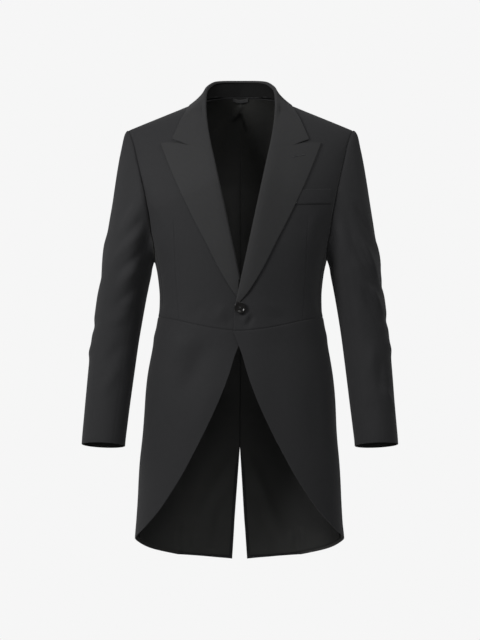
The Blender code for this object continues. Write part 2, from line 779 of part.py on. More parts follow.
def collar_edge(at):
    """Gives the collar's outer edge, which passes over the shoulder's ridge a little clear of it."""
    rows = collar_rows(at)
    across, height = rows["edge_x"], rows["edge_z"]
    blend = ease((at - EDGE_LEAVES_BACK) / EDGE_TURN)
    off = EDGE_OFF + EDGE_HUMP * np.exp(-(((at - RIDGE_ROW) / EDGE_HUMP_REACH) ** 2))
    back = on_body(angle_at(across, height, "back"), height, off)
    front = on_body(angle_at(across, height, "front"), height, off)
    return back * (1 - blend[:, None]) + front * blend[:, None]


def make_collar_fall(finish, coat):
    """Makes the collar's fall, from the inside of the fold over it to the outer edge."""
    at = np.linspace(0, len(COLLAR["rows"]) - 1, COLLAR_COLUMNS)
    rows, fold, over, out = collar_frame(at)
    edge = collar_edge(at)
    radius = ROLL_RADIUS
    centre = fold - over * (radius + CLOTH / 2)
    section = [centre - out * radius - over * COLLAR_HOOK]
    for turn in np.radians(COLLAR_TURNS):
        section.append(centre - out * radius * np.cos(turn) + over * radius * np.sin(turn))
    start = section[-1]
    length = np.linalg.norm(edge - start, axis=-1, keepdims=True)
    toward = unit(start - edge)
    lying = rows["body"][:, None]
    first = start - over * length * 0.33 + out * lying * 0.25
    second = edge + toward * length * 0.33 + out * lying * 0.28
    for t in np.linspace(0, 1, 6)[1:]:
        keep = 1 - t
        section.append(keep**3 * start + 3 * keep**2 * t * first + 3 * keep * t * t * second + t**3 * edge)
    half = np.stack(section, axis=0)
    left = lay_on_chest(half, at, rows, LAP_LIFT)
    right = lay_on_chest(half, at, rows, 0.0)
    mirrored = right[:, :0:-1] * np.array([-1.0, 1.0, 1.0])
    middle = np.concatenate([mirrored, left], axis=1)
    section_wall("collar_fall", middle, 1, finish, coat)


def gorge_height(across):
    """Gives the height of the gorge, where the collar meets the lapel, and of the collar's end past it."""
    return np.interp(across, column(GORGE, "across"), column(GORGE, "height"))


def lay_on_chest(section, at, rows, lift):
    """Lays the collar's front end on the chest, with its end along the gorge."""
    centre = rows["fold_x"] + ROLL_RADIUS + CLOTH / 2
    turn = np.radians(COLLAR_TURNS)[:, None]
    level = np.broadcast_to(rows["fold_z"], (len(COLLAR_TURNS) + 1, len(at)))
    rolled_x = np.concatenate([[centre + COLLAR_HOOK], centre - ROLL_RADIUS * np.sin(turn)])
    hook_out = [0 * centre - ROLL_RADIUS]
    rolled_out = np.concatenate([hook_out, 0 * centre - ROLL_RADIUS * np.cos(turn)]) - CLOTH / 2
    first = len(rolled_x)
    across, height = section[first:, :, 0], section[first:, :, 2]
    height = np.where(at > len(COLLAR["rows"]) - 1.1, gorge_height(across), height)
    beyond = np.linspace(6, 60, len(across))[:, None] + 0 * across
    out = ROLL_RADIUS - CLOTH / 2 + lying_height(beyond)
    across = np.concatenate([rolled_x, across])
    height = np.concatenate([level, height])
    out = np.concatenate([rolled_out, out])
    lying = on_body(angle_at(across, height), height, out, lift)
    drop = shoulder_height(across) - height
    share = between(at, LIES_ON_CHEST) * ease(drop / RIDGE_TURN)
    share[:first] = between(at, ROLL_ON_CHEST)
    share = share[..., None]
    return section * (1 - share) + lying * share


def make_collar_stand(finish, coat):
    """Makes the collar's stand, from the neck seam up to just under the fold."""
    at = np.linspace(0, len(COLLAR["rows"]) - 1, COLLAR_COLUMNS)[:STAND_COLUMNS]
    rows, fold, over, out = collar_frame(at)
    face_back = angle_at(rows["seam_x"], rows["seam_z"], "back")
    face_front = angle_at(rows["seam_x"], rows["seam_z"], "front")
    angle = np.where(at < 4, face_back, face_front)
    seam = body_point(angle, rows["seam_z"])
    top = fold - over * STAND_BELOW_FOLD
    seam = seam + unit(top - seam) * STAND_ABOVE_SEAM - out * CLOTH / 2
    half = np.stack([top * (1 - share) + seam * share for share in (0.0, 0.34, 0.7, 1.0)], axis=0)
    mirrored = half[:, :0:-1] * np.array([-1.0, 1.0, 1.0])
    middle = np.concatenate([mirrored, half], axis=1)
    section_wall("collar_stand", middle, 1, finish, coat, STAND)


def sleeve_round(angles, heights):
    """Gives each armhole point's place round the sleeve: 0 outside, 90 in front, 180 inside, 270 behind."""
    points = body_point(angles, heights)
    closed = np.concatenate([points, points[:1]])
    run = np.concatenate([[0], np.cumsum(np.linalg.norm(np.diff(closed, axis=0), axis=1))])
    bottom = run[int(np.argmin(heights))]
    front = 180 * run[:-1] / bottom
    back = 180 + 180 * (run[:-1] - bottom) / (run[-1] - bottom)
    return np.where(run[:-1] <= bottom, front, back)


def sleeve_folds(turn, height):
    """Gives how far the sleeve's largest folds stand out or in."""
    total = np.zeros(np.broadcast(turn, height).shape)
    for middle, round_at, slant, half_width, half_span, depth in SLEEVE_FOLDS["rows"]:
        along = (turn - round_at) / half_span
        off = (height - middle - slant * (turn - round_at)) / half_width
        total = total + depth * np.exp(-(off**2)) * np.exp(-(along**2))
    return total


def arm_point(turn, height):
    """Gives the sleeve's outer side below the arm, at a place round it and a station's height."""
    turn = np.asarray(turn, float)
    values = {name: read(SLEEVE, name, height) for name in SLEEVE["columns"][1:]}
    dx = values["half_width"] * np.cos(np.radians(turn))
    dy = -values["half_depth"] * np.sin(np.radians(turn))
    z = height + dx * values["rise_out"] - dy * values["drop_back"]
    return np.stack([values["x"] + dx, values["y"] + dy, z], axis=-1)


def sleeve_grid():
    """Gives the sleeve's outer side: rows down the arm, columns round the armhole's points."""
    angles, heights = armhole_ring()
    turn = sleeve_round(angles, heights)
    start = body_point(angles, heights)
    normal = body_normal(angles, heights)
    top_station = SLEEVE["rows"][0][0]
    end = arm_point(turn, np.full(len(turn), float(top_station)))
    span = np.linalg.norm(end - start, axis=-1, keepdims=True)
    forward = -CAP_SPREAD * np.sin(np.radians(turn))
    leave = unit(np.stack([np.ones(len(turn)), forward, np.full(len(turn), CAP_LIFT)], axis=-1))
    start = start + leave * CLEAR
    grid = []
    for t in np.linspace(0, 1, CAP_ROWS + 1):
        leaving = leave * span * CAP_START
        arriving = np.array(SLEEVE_AXIS) * span * CAP_END
        point = (
            start * (1 + 2 * t) * (1 - t) ** 2
            + leaving * t * (1 - t) ** 2
            + end * t * t * (3 - 2 * t)
            - arriving * t * t * (1 - t)
        )
        grid.append(point)
    low_station = SLEEVE["rows"][-1][0]
    for height in np.linspace(top_station, low_station, ARM_ROWS + 1)[1:]:
        grid.append(arm_point(turn, np.full(len(turn), height)))
    return np.array(grid), turn, normal


def make_sleeve(side_name, side, finish, coat):
    """Makes the upper and the under sleeve."""
    outer, turn, ring_normal = sleeve_grid()
    closed = np.concatenate([outer[:, -1:], outer, outer[:, :1]], axis=1)
    normal = -grid_normals(closed)[:, 1:-1]
    outward = np.sum(normal * (outer - outer.mean(axis=1, keepdims=True)), axis=-1).mean()
    normal = normal * np.sign(outward)
    station = np.linspace(SLEEVE["rows"][0][0], SLEEVE["rows"][-1][0], ARM_ROWS + 1)
    heights = np.concatenate([np.full(CAP_ROWS, NO_FOLD_AT), station])
    fold = sleeve_folds(turn[None, :], heights[:, None])
    outer = outer + normal * fold[..., None]
    shared = normal[0, :, :1] < ring_normal[:, :1]
    normal[0] = np.where(shared, normal[0], ring_normal)
    inner = outer - normal * CLOTH
    front_seam = SLEEVE_FRONT_SEAM
    back_seam = len(CHEST_STEPS) + SLEEVE_BACK_SEAM
    under = list(range(front_seam, back_seam + 1))
    upper = list(range(back_seam, outer.shape[1])) + list(range(0, front_seam + 1))
    for name, chosen in (("upper_sleeve", upper), ("under_sleeve", under)):
        part_outer, part_inner = outer[:, chosen].copy(), inner[:, chosen].copy()
        for grid in (part_outer, part_inner):
            grid[:, 0] += unit(grid[:, 1] - grid[:, 0]) * SEAM
            grid[:, -1] += unit(grid[:, -2] - grid[:, -1]) * SEAM
        mirror = np.array([side, 1.0, 1.0])
        loft(f"{name}_{side_name}", part_outer * mirror, part_inner * mirror, finish, coat)


def make_welt(finish, coat):
    """Makes the breast pocket's welt on the wearer's left, from the lapel's edge outward."""
    angles, heights = [], []
    for step in np.linspace(1, 0, WELT_ROWS + 1):
        bottom_outer = WELT_BOTTOM_OUTER_Z + WELT_HEIGHT * step
        inner_z = bottom_outer - WELT_SLOPE * WELT_LENGTH
        inner_x = float(read(LAPEL_EDGE, "across", inner_z)) + WELT_OFF_LAPEL
        across = np.linspace(inner_x, WELT_OUTER_X, WELT_COLUMNS + 1)
        height = bottom_outer - WELT_SLOPE * (WELT_OUTER_X - across)
        angles.append(angle_at(across, height))
        heights.append(height)
    angle, height = np.array(angles), np.array(heights)
    cloth_wall("breast_welt", angle, height, 1, finish, coat, LAP_LIFT, WELT_RISE, WELT_THICK)


def make_button(finish, coat):
    """Makes the front button with its shank, seated on the left front."""
    seat = body_point(angle_at(BUTTON_AT[0], BUTTON_AT[1]), BUTTON_AT[1], LAP_LIFT)
    radius, thick, low = BUTTON_RADIUS, BUTTON_THICKNESS, SHANK_LENGTH
    profile = (
        (0.0, low + thick - 1.2),
        (radius - 3.0, low + thick - 1.1),
        (radius - 2.2, low + thick - 0.3),
        (radius - BUTTON_RIM, low + thick),
        (radius - 0.6, low + thick - 0.4),
        (radius, low + thick * 0.5),
        (radius - 1.2, low + 0.2),
        (SHANK_RADIUS + 0.6, low),
        (SHANK_RADIUS, low - 0.5),
        (SHANK_RADIUS, 0.0),
        (0.0, 0.0),
    )
    mesh = bpy.data.meshes.new("front_button")
    edges = [(number, number + 1) for number in range(len(profile) - 1)]
    mesh.from_pydata([(across * MM, 0.0, up * MM) for across, up in profile], edges, [])
    button = bpy.data.objects.new("front_button", mesh)
    coat.objects.link(button)
    screw = button.modifiers.new("turn", "SCREW")
    screw.steps = screw.render_steps = 24
    screw.use_merge_vertices = True
    screw.merge_threshold = 0.00001
    screw.use_smooth_shade = True
    button.rotation_euler = (np.pi / 2, 0.0, 0.0)
    button.location = (seat[0] * MM, (seat[1] - CLEAR) * MM, seat[2] * MM)
    mesh.materials.append(finish)


def make_linings(finish, coat):
    """Makes the lining where it shows: the upper back, and each tail down to above the hem."""
    under = CLOTH + LINING_GAP
    angle, height = back_panel()
    waist_row = BLADE_ROWS + SIDE_ROWS
    half_angle, half_height = angle[: waist_row + 1].copy(), height[: waist_row + 1].copy()
    half_height[0] -= SEAM
    half_height[-1] += SEAM
    centre = np.full((waist_row + 1, 1), 180.0)
    side_angle = np.concatenate([centre, half_angle[:, 1:]], axis=1)
    outer_half = on_body(side_angle, half_height, -under - LINING_EDGE_GAP)
    inner_half = on_body(side_angle, half_height, -under - LINING_EDGE_GAP - LINING)
    walls = []
    for half in (outer_half, inner_half):
        half[:, -1] += (half[:, -2] - half[:, -1]) * LINING_INSET
        walls.append(np.concatenate([place(half, -1)[:, :0:-1], place(half, 1)], axis=1))
    loft("back_lining", walls[0], walls[1], finish, coat)
    for side_name, side in SIDES:
        tail_angle, tail_height = angle[waist_row:].copy(), height[waist_row:].copy()
        first, last = tail_angle[:, :1], tail_angle[:, -1:]
        margin = TAIL_LINING_AT_SEAM + TAIL_LINING_AT_VENT * ease((VENT_TOP - tail_height[:, :1]) / 60)
        share = (tail_angle - first) / (last - first)
        tail_angle = first - margin + (last + TAIL_LINING_AT_SKIRT - first + margin) * share
        tail_height[0] -= SEAM
        tail_height[-1] += TAIL_LINING_ABOVE_HEM
        name = f"tail_lining_{side_name}"
        cloth_wall(name, tail_angle, tail_height, side, finish, coat, 0.0, -under, LINING)


def make_loop(finish, coat):
    """Makes the hanger loop at the back of the neck, its ends on the lining and its middle off it."""
    across = np.linspace(-LOOP_HALF_LENGTH, LOOP_HALF_LENGTH, LOOP_COLUMNS + 1)
    share = across / LOOP_HALF_LENGTH
    seat = CLOTH + LINING_GAP + LINING + LOOP_CLEAR
    outer, inner = [], []
    for step in (0.5, -0.5):
        height = LOOP_MIDDLE_Z + LOOP_WIDTH * step + LOOP_SAG * (share**2 - 1)
        bow = LOOP_BOW * (1 - share**2) ** 2
        angle = 180 - angle_at(across, height)
        outer.append(on_body(angle, height, -seat - bow))
        inner.append(on_body(angle, height, -seat - bow - LINING))
    loft("hanger_loop", np.array(outer), np.array(inner), finish, coat)


def build():
    """Makes the whole coat."""
    for old in list(bpy.data.objects):
        bpy.data.objects.remove(old)
    coat = bpy.data.collections.new("morning_coat")
    bpy.context.scene.collection.children.link(coat)
    for side_name, side in SIDES:
        for maker in (make_front, make_side_body, make_back, make_skirt, make_lapel, make_sleeve):
            piece = maker.__name__.replace("make_", "")
            wool = material(f"charcoal_{piece}_{side_name}", (0.030, 0.030, 0.032), 0.85)
            maker(side_name, side, wool, coat)
    make_collar_fall(material("charcoal_collar_fall", (0.032, 0.032, 0.034), 0.85), coat)
    make_collar_stand(material("charcoal_collar_stand", (0.026, 0.026, 0.028), 0.85), coat)
    make_welt(material("charcoal_welt", (0.030, 0.030, 0.032), 0.85), coat)
    make_button(material("black_horn", (0.012, 0.012, 0.013), 0.25), coat)
    make_linings(material("black_lining", (0.010, 0.010, 0.011), 0.5), coat)
    make_loop(material("black_loop", (0.014, 0.014, 0.015), 0.6), coat)


build()
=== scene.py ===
"""Dresses a single-button morning coat with peak lapels: wool shells, linings, button and needlework.

Sizes are millimetres unless a name says otherwise, and meshes are made in metres. The coat's front faces -Y,
+Z is up and +X is the wearer's left. A place on the coat's body is an angle round it, from 0 at the centre
front to 180 at the centre back, and a height. Both halves are worked out on the +X side and then placed.
"""

from __future__ import annotations

import logging
from dataclasses import dataclass
from enum import Enum
from typing import Any, Iterable, Sequence

import bpy
import numpy as np
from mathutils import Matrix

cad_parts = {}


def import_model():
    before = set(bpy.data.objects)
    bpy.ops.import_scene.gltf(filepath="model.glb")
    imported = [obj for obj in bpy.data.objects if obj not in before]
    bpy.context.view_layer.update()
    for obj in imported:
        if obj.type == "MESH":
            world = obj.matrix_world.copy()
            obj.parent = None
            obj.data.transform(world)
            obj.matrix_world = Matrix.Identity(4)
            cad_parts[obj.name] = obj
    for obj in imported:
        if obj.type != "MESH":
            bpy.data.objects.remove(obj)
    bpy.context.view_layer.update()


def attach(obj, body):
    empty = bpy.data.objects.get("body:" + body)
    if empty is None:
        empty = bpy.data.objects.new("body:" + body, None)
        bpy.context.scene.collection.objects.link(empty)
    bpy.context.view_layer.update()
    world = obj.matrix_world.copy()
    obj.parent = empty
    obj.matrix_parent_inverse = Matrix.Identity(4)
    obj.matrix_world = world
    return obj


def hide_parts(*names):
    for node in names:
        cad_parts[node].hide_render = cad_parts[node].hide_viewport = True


MM = 0.001
LOG = logging.getLogger("coat")
Array = np.ndarray
Colour = tuple[float, float, float]
Point = tuple[float, float, float]
Pair = tuple[float, float]
SIDES = (("left", 1), ("right", -1))


def ease(t: Array | float) -> Array:
    """Goes softly from 0 to 1."""
    t = np.clip(t, 0, 1)
    return t * t * (3 - 2 * t)


def between(at: Array | float, start: float, end: float) -> Array:
    """Goes softly from 0 at start to 1 at end."""
    return ease((np.asarray(at, float) - start) / (end - start))


def unit(vectors: Array) -> Array:
    """Scales vectors to length 1."""
    return vectors / np.maximum(np.linalg.norm(vectors, axis=-1, keepdims=True), 1e-9)


def smooth(keys: Array, values: Array, at: Array) -> Array:
    """Reads a curve through given points that doesn't overshoot them.

    Args:
        keys: where the points lie, rising or falling.
        values: the curve's value at each.
        at: where to read it. Past the ends the curve keeps its end values.

    Returns:
        The curve's values there.
    """
    keys, values = np.asarray(keys, float), np.asarray(values, float)
    if keys[0] > keys[-1]:
        keys, values = keys[::-1], values[::-1]
    step = np.diff(keys)
    rise = np.diff(values) / step
    slope = np.concatenate(([rise[0]], np.zeros(len(rise) - 1), [rise[-1]]))
    same = rise[:-1] * rise[1:] > 0
    total = step[:-1] + step[1:]
    before = (step[:-1] + total) / (3 * total)
    low, high = np.where(same, rise[:-1], 1), np.where(same, rise[1:], 1)
    slope[1:-1] = np.where(same, 1 / ((1 - before) / low + before / high), 0)
    inside = np.clip(np.asarray(at, float), keys[0], keys[-1])
    place = np.clip(np.searchsorted(keys, inside, side="right") - 1, 0, len(rise) - 1)
    run = step[place]
    t = (inside - keys[place]) / run
    hold = values[place] * (1 + 2 * t) * (1 - t) ** 2 + values[place + 1] * t * t * (3 - 2 * t)
    return hold + run * t * (1 - t) * (slope[place] * (1 - t) - slope[place + 1] * t)


@dataclass(frozen=True)
class Table:
    """A short table, read by its first column."""

    columns: str
    rows: tuple[tuple, ...]

    def column(self, name: str) -> list:
        """Gives one named column."""
        place = self.columns.split().index(name)
        return [row[place] for row in self.rows]

    def read(self, name: str, at: Array, soften: float = 0.0) -> Array:
        """Reads a named column between the rows.

        Args:
            name: the column.
            at: places on the first column.
            soften: how far to each side the value is averaged, in the first column's unit.

        Returns:
            The values there.
        """
        keys, values = self.column(self.columns.split()[0]), self.column(name)
        at = np.asarray(at, float)
        if soften == 0:
            return smooth(keys, values, at)
        return sum(smooth(keys, values, at + soften * share) for share in (-1, -0.5, 0, 0.5, 1)) / 5


def spread(length: float, step: float, fine_start: bool = True, fine_end: bool = True) -> Array:
    """Places a grid's lines from 0 to 1, close together next to an edge.

    Args:
        length: how long the stretch is.
        step: how far apart the lines are away from the edges.
        fine_start: whether they crowd at 0.
        fine_end: whether they crowd at 1.

    Returns:
        The places, from 0 to 1.
    """
    crowd = [0.0, 0.35, 0.8, 1.4, 2.3, 3.8]
    start = crowd if fine_start else [0.0]
    end = [length - place for place in reversed(crowd)] if fine_end else [length]
    count = max(2, int(round((end[0] - start[-1]) / step)))
    middle = np.linspace(start[-1], end[0], count + 1)[1:-1]
    return np.array([*start, *middle, *end]) / length


@dataclass(frozen=True)
class Figure:
    """The general figure that the coat is cut for: rounded sections round the body, and sloping shoulders."""

    squareness: float = 2.3
    slope: float = 0.41
    collar_crossing: float = 101.0
    neck_half: float = 78.0
    probe: Pair = (0.4, 1.5)
    front_swell: Pair = (190.0, 1.6)
    back_swell: Pair = (200.0, 1.7)
    ridge_soften: float = 6.0
    ridge_clear: float = 6.0
    ridge_turn: float = 32.0
    lap_lift: float = 6.0
    lap_flat_to: float = 18.0
    lap_gone_at: float = 90.0
    soften: float = 9.0
    body: Table = Table(
        "height half_width front back sway front_sway",
        (
            (60, 275, 100, 104, 0, 0),
            (0, 262, 104, 113, 0, 0),
            (-55, 240, 112, 120, 0, 0),
            (-115, 222, 121, 125, 0, 0),
            (-165, 215, 127, 126, 0, 0),
            (-221, 205, 130, 124, 0, 0),
            (-280, 187, 130, 119, 0, 0),
            (-318, 174.5, 128, 113, 0, 0),
            (-345, 168.5, 126, 108, 0, 0),
            (-394, 164, 121, 98, 0, 0),
            (-440, 169, 118, 94, 0, 0),
            (-488, 177, 118, 100, 0, -4),
            (-551, 188.2, 120, 115, -0.5, -4),
            (-602, 194, 122, 125, -1, -3.8),
            (-667, 198.3, 124, 130, -1.3, -3.6),
            (-729, 203.6, 125, 131, -1.6, -3),
            (-797, 206.4, 126, 131, -2, -2),
            (-853, 210, 126, 130, -2.4, -0.5),
            (-878, 212.4, 126, 130, -2.1, 0),
            (-945, 214, 126, 130, -2, 0),
        ),
    )
    ridge: Table = Table(
        "across depth", ((-40, 30), (0, 40), (40, 30), (78, 14), (150, 8), (228, 4), (300, 2))
    )

    def shoulder_height(self, across: Array) -> Array:
        """Gives the height of the shoulder line over a distance from the centre."""
        return -self.slope * (np.abs(across) - self.collar_crossing)

    def half_width(self, height: Array) -> Array:
        """Gives how far the side is from the centre."""
        return self.body.read("half_width", height, self.soften)

    def angle_at(self, across: Array, height: Array, behind: bool = False) -> Array:
        """Turns a distance from the centre into an angle round the body."""
        share = np.clip(np.abs(across) / self.half_width(height), 0, 1)
        angle = np.degrees(np.arcsin(share ** (self.squareness / 2))) * np.sign(across)
        return 180 - angle if behind else angle

    def point(self, angle: Array, height: Array, lift: float = 0.0) -> Array:
        """Gives the outside of the cloth at an angle and a height, on the +X side."""
        angle, height = np.broadcast_arrays(np.asarray(angle, float), np.asarray(height, float))
        turn = np.radians(angle)
        power = 2 / self.squareness
        x = np.sign(np.sin(turn)) * self.half_width(height) * np.abs(np.sin(turn)) ** power
        ahead = np.cos(turn) >= 0
        reach = np.where(
            ahead,
            -self.body.read("front", height, self.soften),
            self.body.read("back", height, self.soften),
        )
        full = reach * np.abs(np.cos(turn)) ** power
        drop = self.shoulder_height(x) - height
        ridge = self.ridge.read("depth", np.abs(x), self.ridge_soften)
        share = np.where(ahead, self.swell(drop, *self.front_swell), self.swell(drop, *self.back_swell))
        y = ridge + (full - ridge) * share
        raised = lift * (1 - between(x, self.lap_flat_to, self.lap_gone_at))
        return np.stack([x, np.where(ahead, y - raised, y), height], axis=-1)

    @staticmethod
    def swell(drop: Array, reach: float, power: float) -> Array:
        """Tells how much of its full depth the body has at a drop below the shoulder line."""
        t = np.clip(drop / reach, 0, 1)
        return (1 - (1 - t) ** power) ** (1 / power)

    def normal(self, angle: Array, height: Array, lift: float = 0.0) -> Array:
        """Gives the way out of the cloth. It turns up toward the shoulder's ridge."""
        angle, height = np.broadcast_arrays(np.asarray(angle, float), np.asarray(height, float))
        across = self.point(angle, height)[..., 0]
        drop = self.shoulder_height(across) - height
        below = np.minimum(height, self.shoulder_height(across) - self.ridge_clear)
        turn, rise = self.probe
        turned = self.point(angle + turn, below, lift) - self.point(angle - turn, below, lift)
        raised = self.point(angle, below + rise, lift) - self.point(angle, below - rise, lift)
        slope = self.slope * np.clip(across / self.neck_half, -1, 1)
        up = unit(np.stack([slope, np.zeros_like(slope), np.ones_like(slope)], axis=-1))
        share = (1 - ease(drop / self.ridge_turn))[..., None]
        return unit(unit(np.cross(turned, raised)) * (1 - share) + up * share)

    def on(self, angle: Array, height: Array, out: Array | float, lift: float = 0.0) -> Array:
        """Gives a point at a distance out of the cloth's outer side."""
        out = np.broadcast_to(np.asarray(out, float), np.shape(angle))[..., None]
        return self.point(angle, height, lift) + self.normal(angle, height, lift) * out

    def over(
        self, across: Array, height: Array, out: Array | float, lift: float = 0.0, behind: bool = False
    ) -> Array:
        """Gives a point out of the cloth by its distance from the centre and its height."""
        return self.on(self.angle_at(across, height, behind), height, out, lift)

    def place(self, grid: Array, side: int) -> Array:
        """Puts a grid made on the +X side on its own side, with the coat's slight sway."""
        placed = np.array(grid, float)
        height = placed[..., 2]
        toward_front = np.clip(-placed[..., 1] / 100, 0, 1)
        sway = self.body.read("sway", height) + self.body.read("front_sway", height) * toward_front
        placed[..., 0] = side * placed[..., 0] + sway
        return placed


@dataclass(frozen=True)
class Pattern:
    """The lines along which the coat's pieces are cut, on the figure."""

    figure: Figure
    neck_point: Pair = (78.0, 9.4)
    shoulder_tip: float = 227.0
    roll_top: Pair = (60.0, -80.0)
    roll_crosses_centre_at: float = -357.0
    fold_ends_at: float = -411.0
    fold_fills_over: float = 34.0
    fold_radius: float = 3.3
    front_inside_fold: float = 1.3
    edge_ends_at: float = -458.0
    armhole_turns_at: float = -265.0
    armhole_bottom: float = -318.0
    front_side_top: float = -290.0
    back_side_top: float = -215.0
    front_side_waist_angle: float = 74.0
    back_side_waist_angle: float = 152.0
    hem_seam_angle: float = 146.0
    vent_top: float = -703.0
    vent_half_width: float = 15.6
    hem_at_vent: float = -936.5
    back_neck: Table = Table("across height", ((0, 20), (30, 19), (58, 14.5), (78, 9.4)))
    front_neck: Table = Table(
        "height across", ((9.4, 78.5), (-10, 77.8), (-35, 73.8), (-60, 68.3), (-80, 63.8))
    )
    front_edge_table: Table = Table(
        "height across", ((-357, 0), (-385, -6), (-412, -11), (-430, -12), (-458, -11.5))
    )
    armhole_front: Table = Table(
        "height across",
        ((-51.7, 227), (-80, 216.5), (-115, 208), (-165, 196), (-221, 185), (-265, 178.5)),
    )
    armhole_back: Table = Table(
        "height across", ((-51.7, 227), (-80, 215), (-115, 205), (-165, 196), (-215, 189), (-265, 181))
    )
    waist: Table = Table(
        "angle height",
        (
            (-4, -458.5), (0, -458), (15.5, -452.5), (26, -447), (41, -439.5), (52, -435.5),
            (70, -432), (180, -430),
        ),
    )
    side_back: Table = Table(
        "height angle",
        ((-215, 116.6), (-270, 129), (-340, 142), (-431, 152), (-560, 150), (-740, 148), (-928, 146)),
    )
    hem: Table = Table(
        "behind across height",
        (
            (0, -11.5, -462), (0, -5, -474.5), (0, 0.5, -485.5), (0, 15.8, -536),
            (0, 37.8, -595), (0, 74.9, -674), (0, 118.2, -754), (0, 169.4, -828),
            (0, 201, -863), (1, 207, -892), (1, 186, -907.4), (1, 157, -917.8),
            (1, 101.6, -930), (1, 18, -936.5),
        ),
    )

    def roll_line(self, height: Array) -> Array:
        """Gives the lapel's fold, and the coat's front edge under it."""
        height = np.asarray(height, float)
        centre, top = self.roll_crosses_centre_at, self.roll_top
        run = (height - centre) / (top[1] - centre)
        return np.where(height > centre, top[0] * run, self.front_edge_table.read("across", height))

    def fold_size(self, height: Array) -> Array:
        """Tells how full the lapel's roll is at a height: 1 along the fold and 0 where it ends."""
        return between(height, self.fold_ends_at, self.fold_ends_at + self.fold_fills_over)

    def front_edge(self, height: Array) -> Array:
        """Gives how far from the centre the front's own edge lies: the neck, the fold and the lap."""
        height = np.asarray(height, float)
        inside = (self.fold_radius + self.front_inside_fold) * self.fold_size(height)
        fold = self.roll_line(height) + inside
        return np.where(height > self.roll_top[1], self.front_neck.read("across", height), fold)

    def waist_height(self, angle: Array) -> Array:
        """Gives the height of the waist seam."""
        return self.waist.read("height", angle)

    def hem_height(self, angle: Array) -> Array:
        """Gives the height of the cutaway and the hem, by the angle round the body."""
        angle_at = self.figure.angle_at
        places = [float(angle_at(across, height, bool(behind))) for behind, across, height in self.hem.rows]
        return smooth(places, self.hem.column("height"), angle)

    def armhole_angle(self, height: Array, behind: bool) -> Array:
        """Gives the angle of the armhole seam at a height, in front or behind."""
        table = self.armhole_back if behind else self.armhole_front
        height = np.asarray(height, float)
        straight = self.figure.angle_at(table.read("across", height), height, behind)
        turn = self.figure.angle_at(table.rows[-1][1], self.armhole_turns_at, behind)
        depth = (self.armhole_turns_at - height) / (self.armhole_turns_at - self.armhole_bottom)
        curved = turn + (90 - turn) * (1 - np.sqrt(1 - np.clip(depth, 0, 1) ** 2))
        return np.where(height >= self.armhole_turns_at, straight, curved)

    def tip_height(self) -> float:
        """Gives the height of the shoulder's tip."""
        return float(self.figure.shoulder_height(self.shoulder_tip))

    def armhole_ring(self, count: int) -> tuple[Array, Array]:
        """Gives even steps round the armhole, from the shoulder's tip down the front and up the back.

        Args:
            count: how many places.

        Returns:
            Their angles and heights.
        """
        fall = np.linspace(0, 1, 400)
        straight = self.tip_height() + (self.armhole_turns_at - self.tip_height()) * fall
        arc = self.armhole_turns_at + (self.armhole_bottom - self.armhole_turns_at) * np.sin(fall * np.pi / 2)
        down = np.concatenate([straight, arc[1:]])
        angles = np.concatenate([self.armhole_angle(down, False), self.armhole_angle(down, True)[::-1][1:]])
        heights = np.concatenate([down, down[::-1][1:]])
        points = self.figure.point(angles, heights)
        run = np.concatenate([[0], np.cumsum(np.linalg.norm(np.diff(points, axis=0), axis=1))])
        at = np.linspace(0, run[-1], count + 1)[:-1]
        return np.interp(at, run, angles), np.interp(at, run, heights)

    def side_front_seam(self, step: Array) -> tuple[Array, Array]:
        """Gives the seam between front and side body, from the armhole at 0 to the waist at 1."""
        step = np.asarray(step, float)
        top = float(self.armhole_angle(self.front_side_top, False))
        low = float(self.waist_height(self.front_side_waist_angle))
        angle = top + (self.front_side_waist_angle - top) * step
        return angle, self.front_side_top + (low - self.front_side_top) * step

    def side_back_seam(self, step: Array) -> tuple[Array, Array]:
        """Gives the seam between side body and back, from the armhole at 0 to the waist at 1."""
        step = np.asarray(step, float)
        low = float(self.waist_height(self.back_side_waist_angle))
        height = self.back_side_top + (low - self.back_side_top) * step
        off = float(self.armhole_angle(self.back_side_top, True)) - self.side_back.rows[0][1]
        return self.side_back.read("angle", height) + off * (1 - step), height

    def tail_seam(self, step: Array) -> tuple[Array, Array]:
        """Gives the seam between skirt and tail, from the waist at 0 to the hem at 1."""
        step = np.asarray(step, float)
        waist = float(self.waist_height(self.back_side_waist_angle))
        height = waist + (float(self.hem_height(self.hem_seam_angle)) - waist) * step
        return self.side_back.read("angle", height), height

    def back_edge(self, height: Array) -> Array:
        """Gives how far the back's centre edge stands off the centre: the seam, then the vent."""
        fall = np.clip((self.vent_top - height) / (self.vent_top - self.hem_at_vent), 0, 1)
        return self.vent_half_width * fall

    def back_top(self, across: Array) -> Array:
        """Gives the back's top edge: the neck seam, then the shoulder seam."""
        neck = self.back_neck.read("height", across)
        return np.where(across < self.neck_point[0], neck, self.figure.shoulder_height(across))


class Seen(Enum):
    """The ways that a crease's place is given: which two coordinates, and which way the cloth faces."""

    FRONT = (0, 2, (0, -1, 0))
    BACK = (0, 2, (0, 1, 0))
    LEFT = (1, 2, (1, 0, 0))
    RIGHT = (1, 2, (-1, 0, 0))


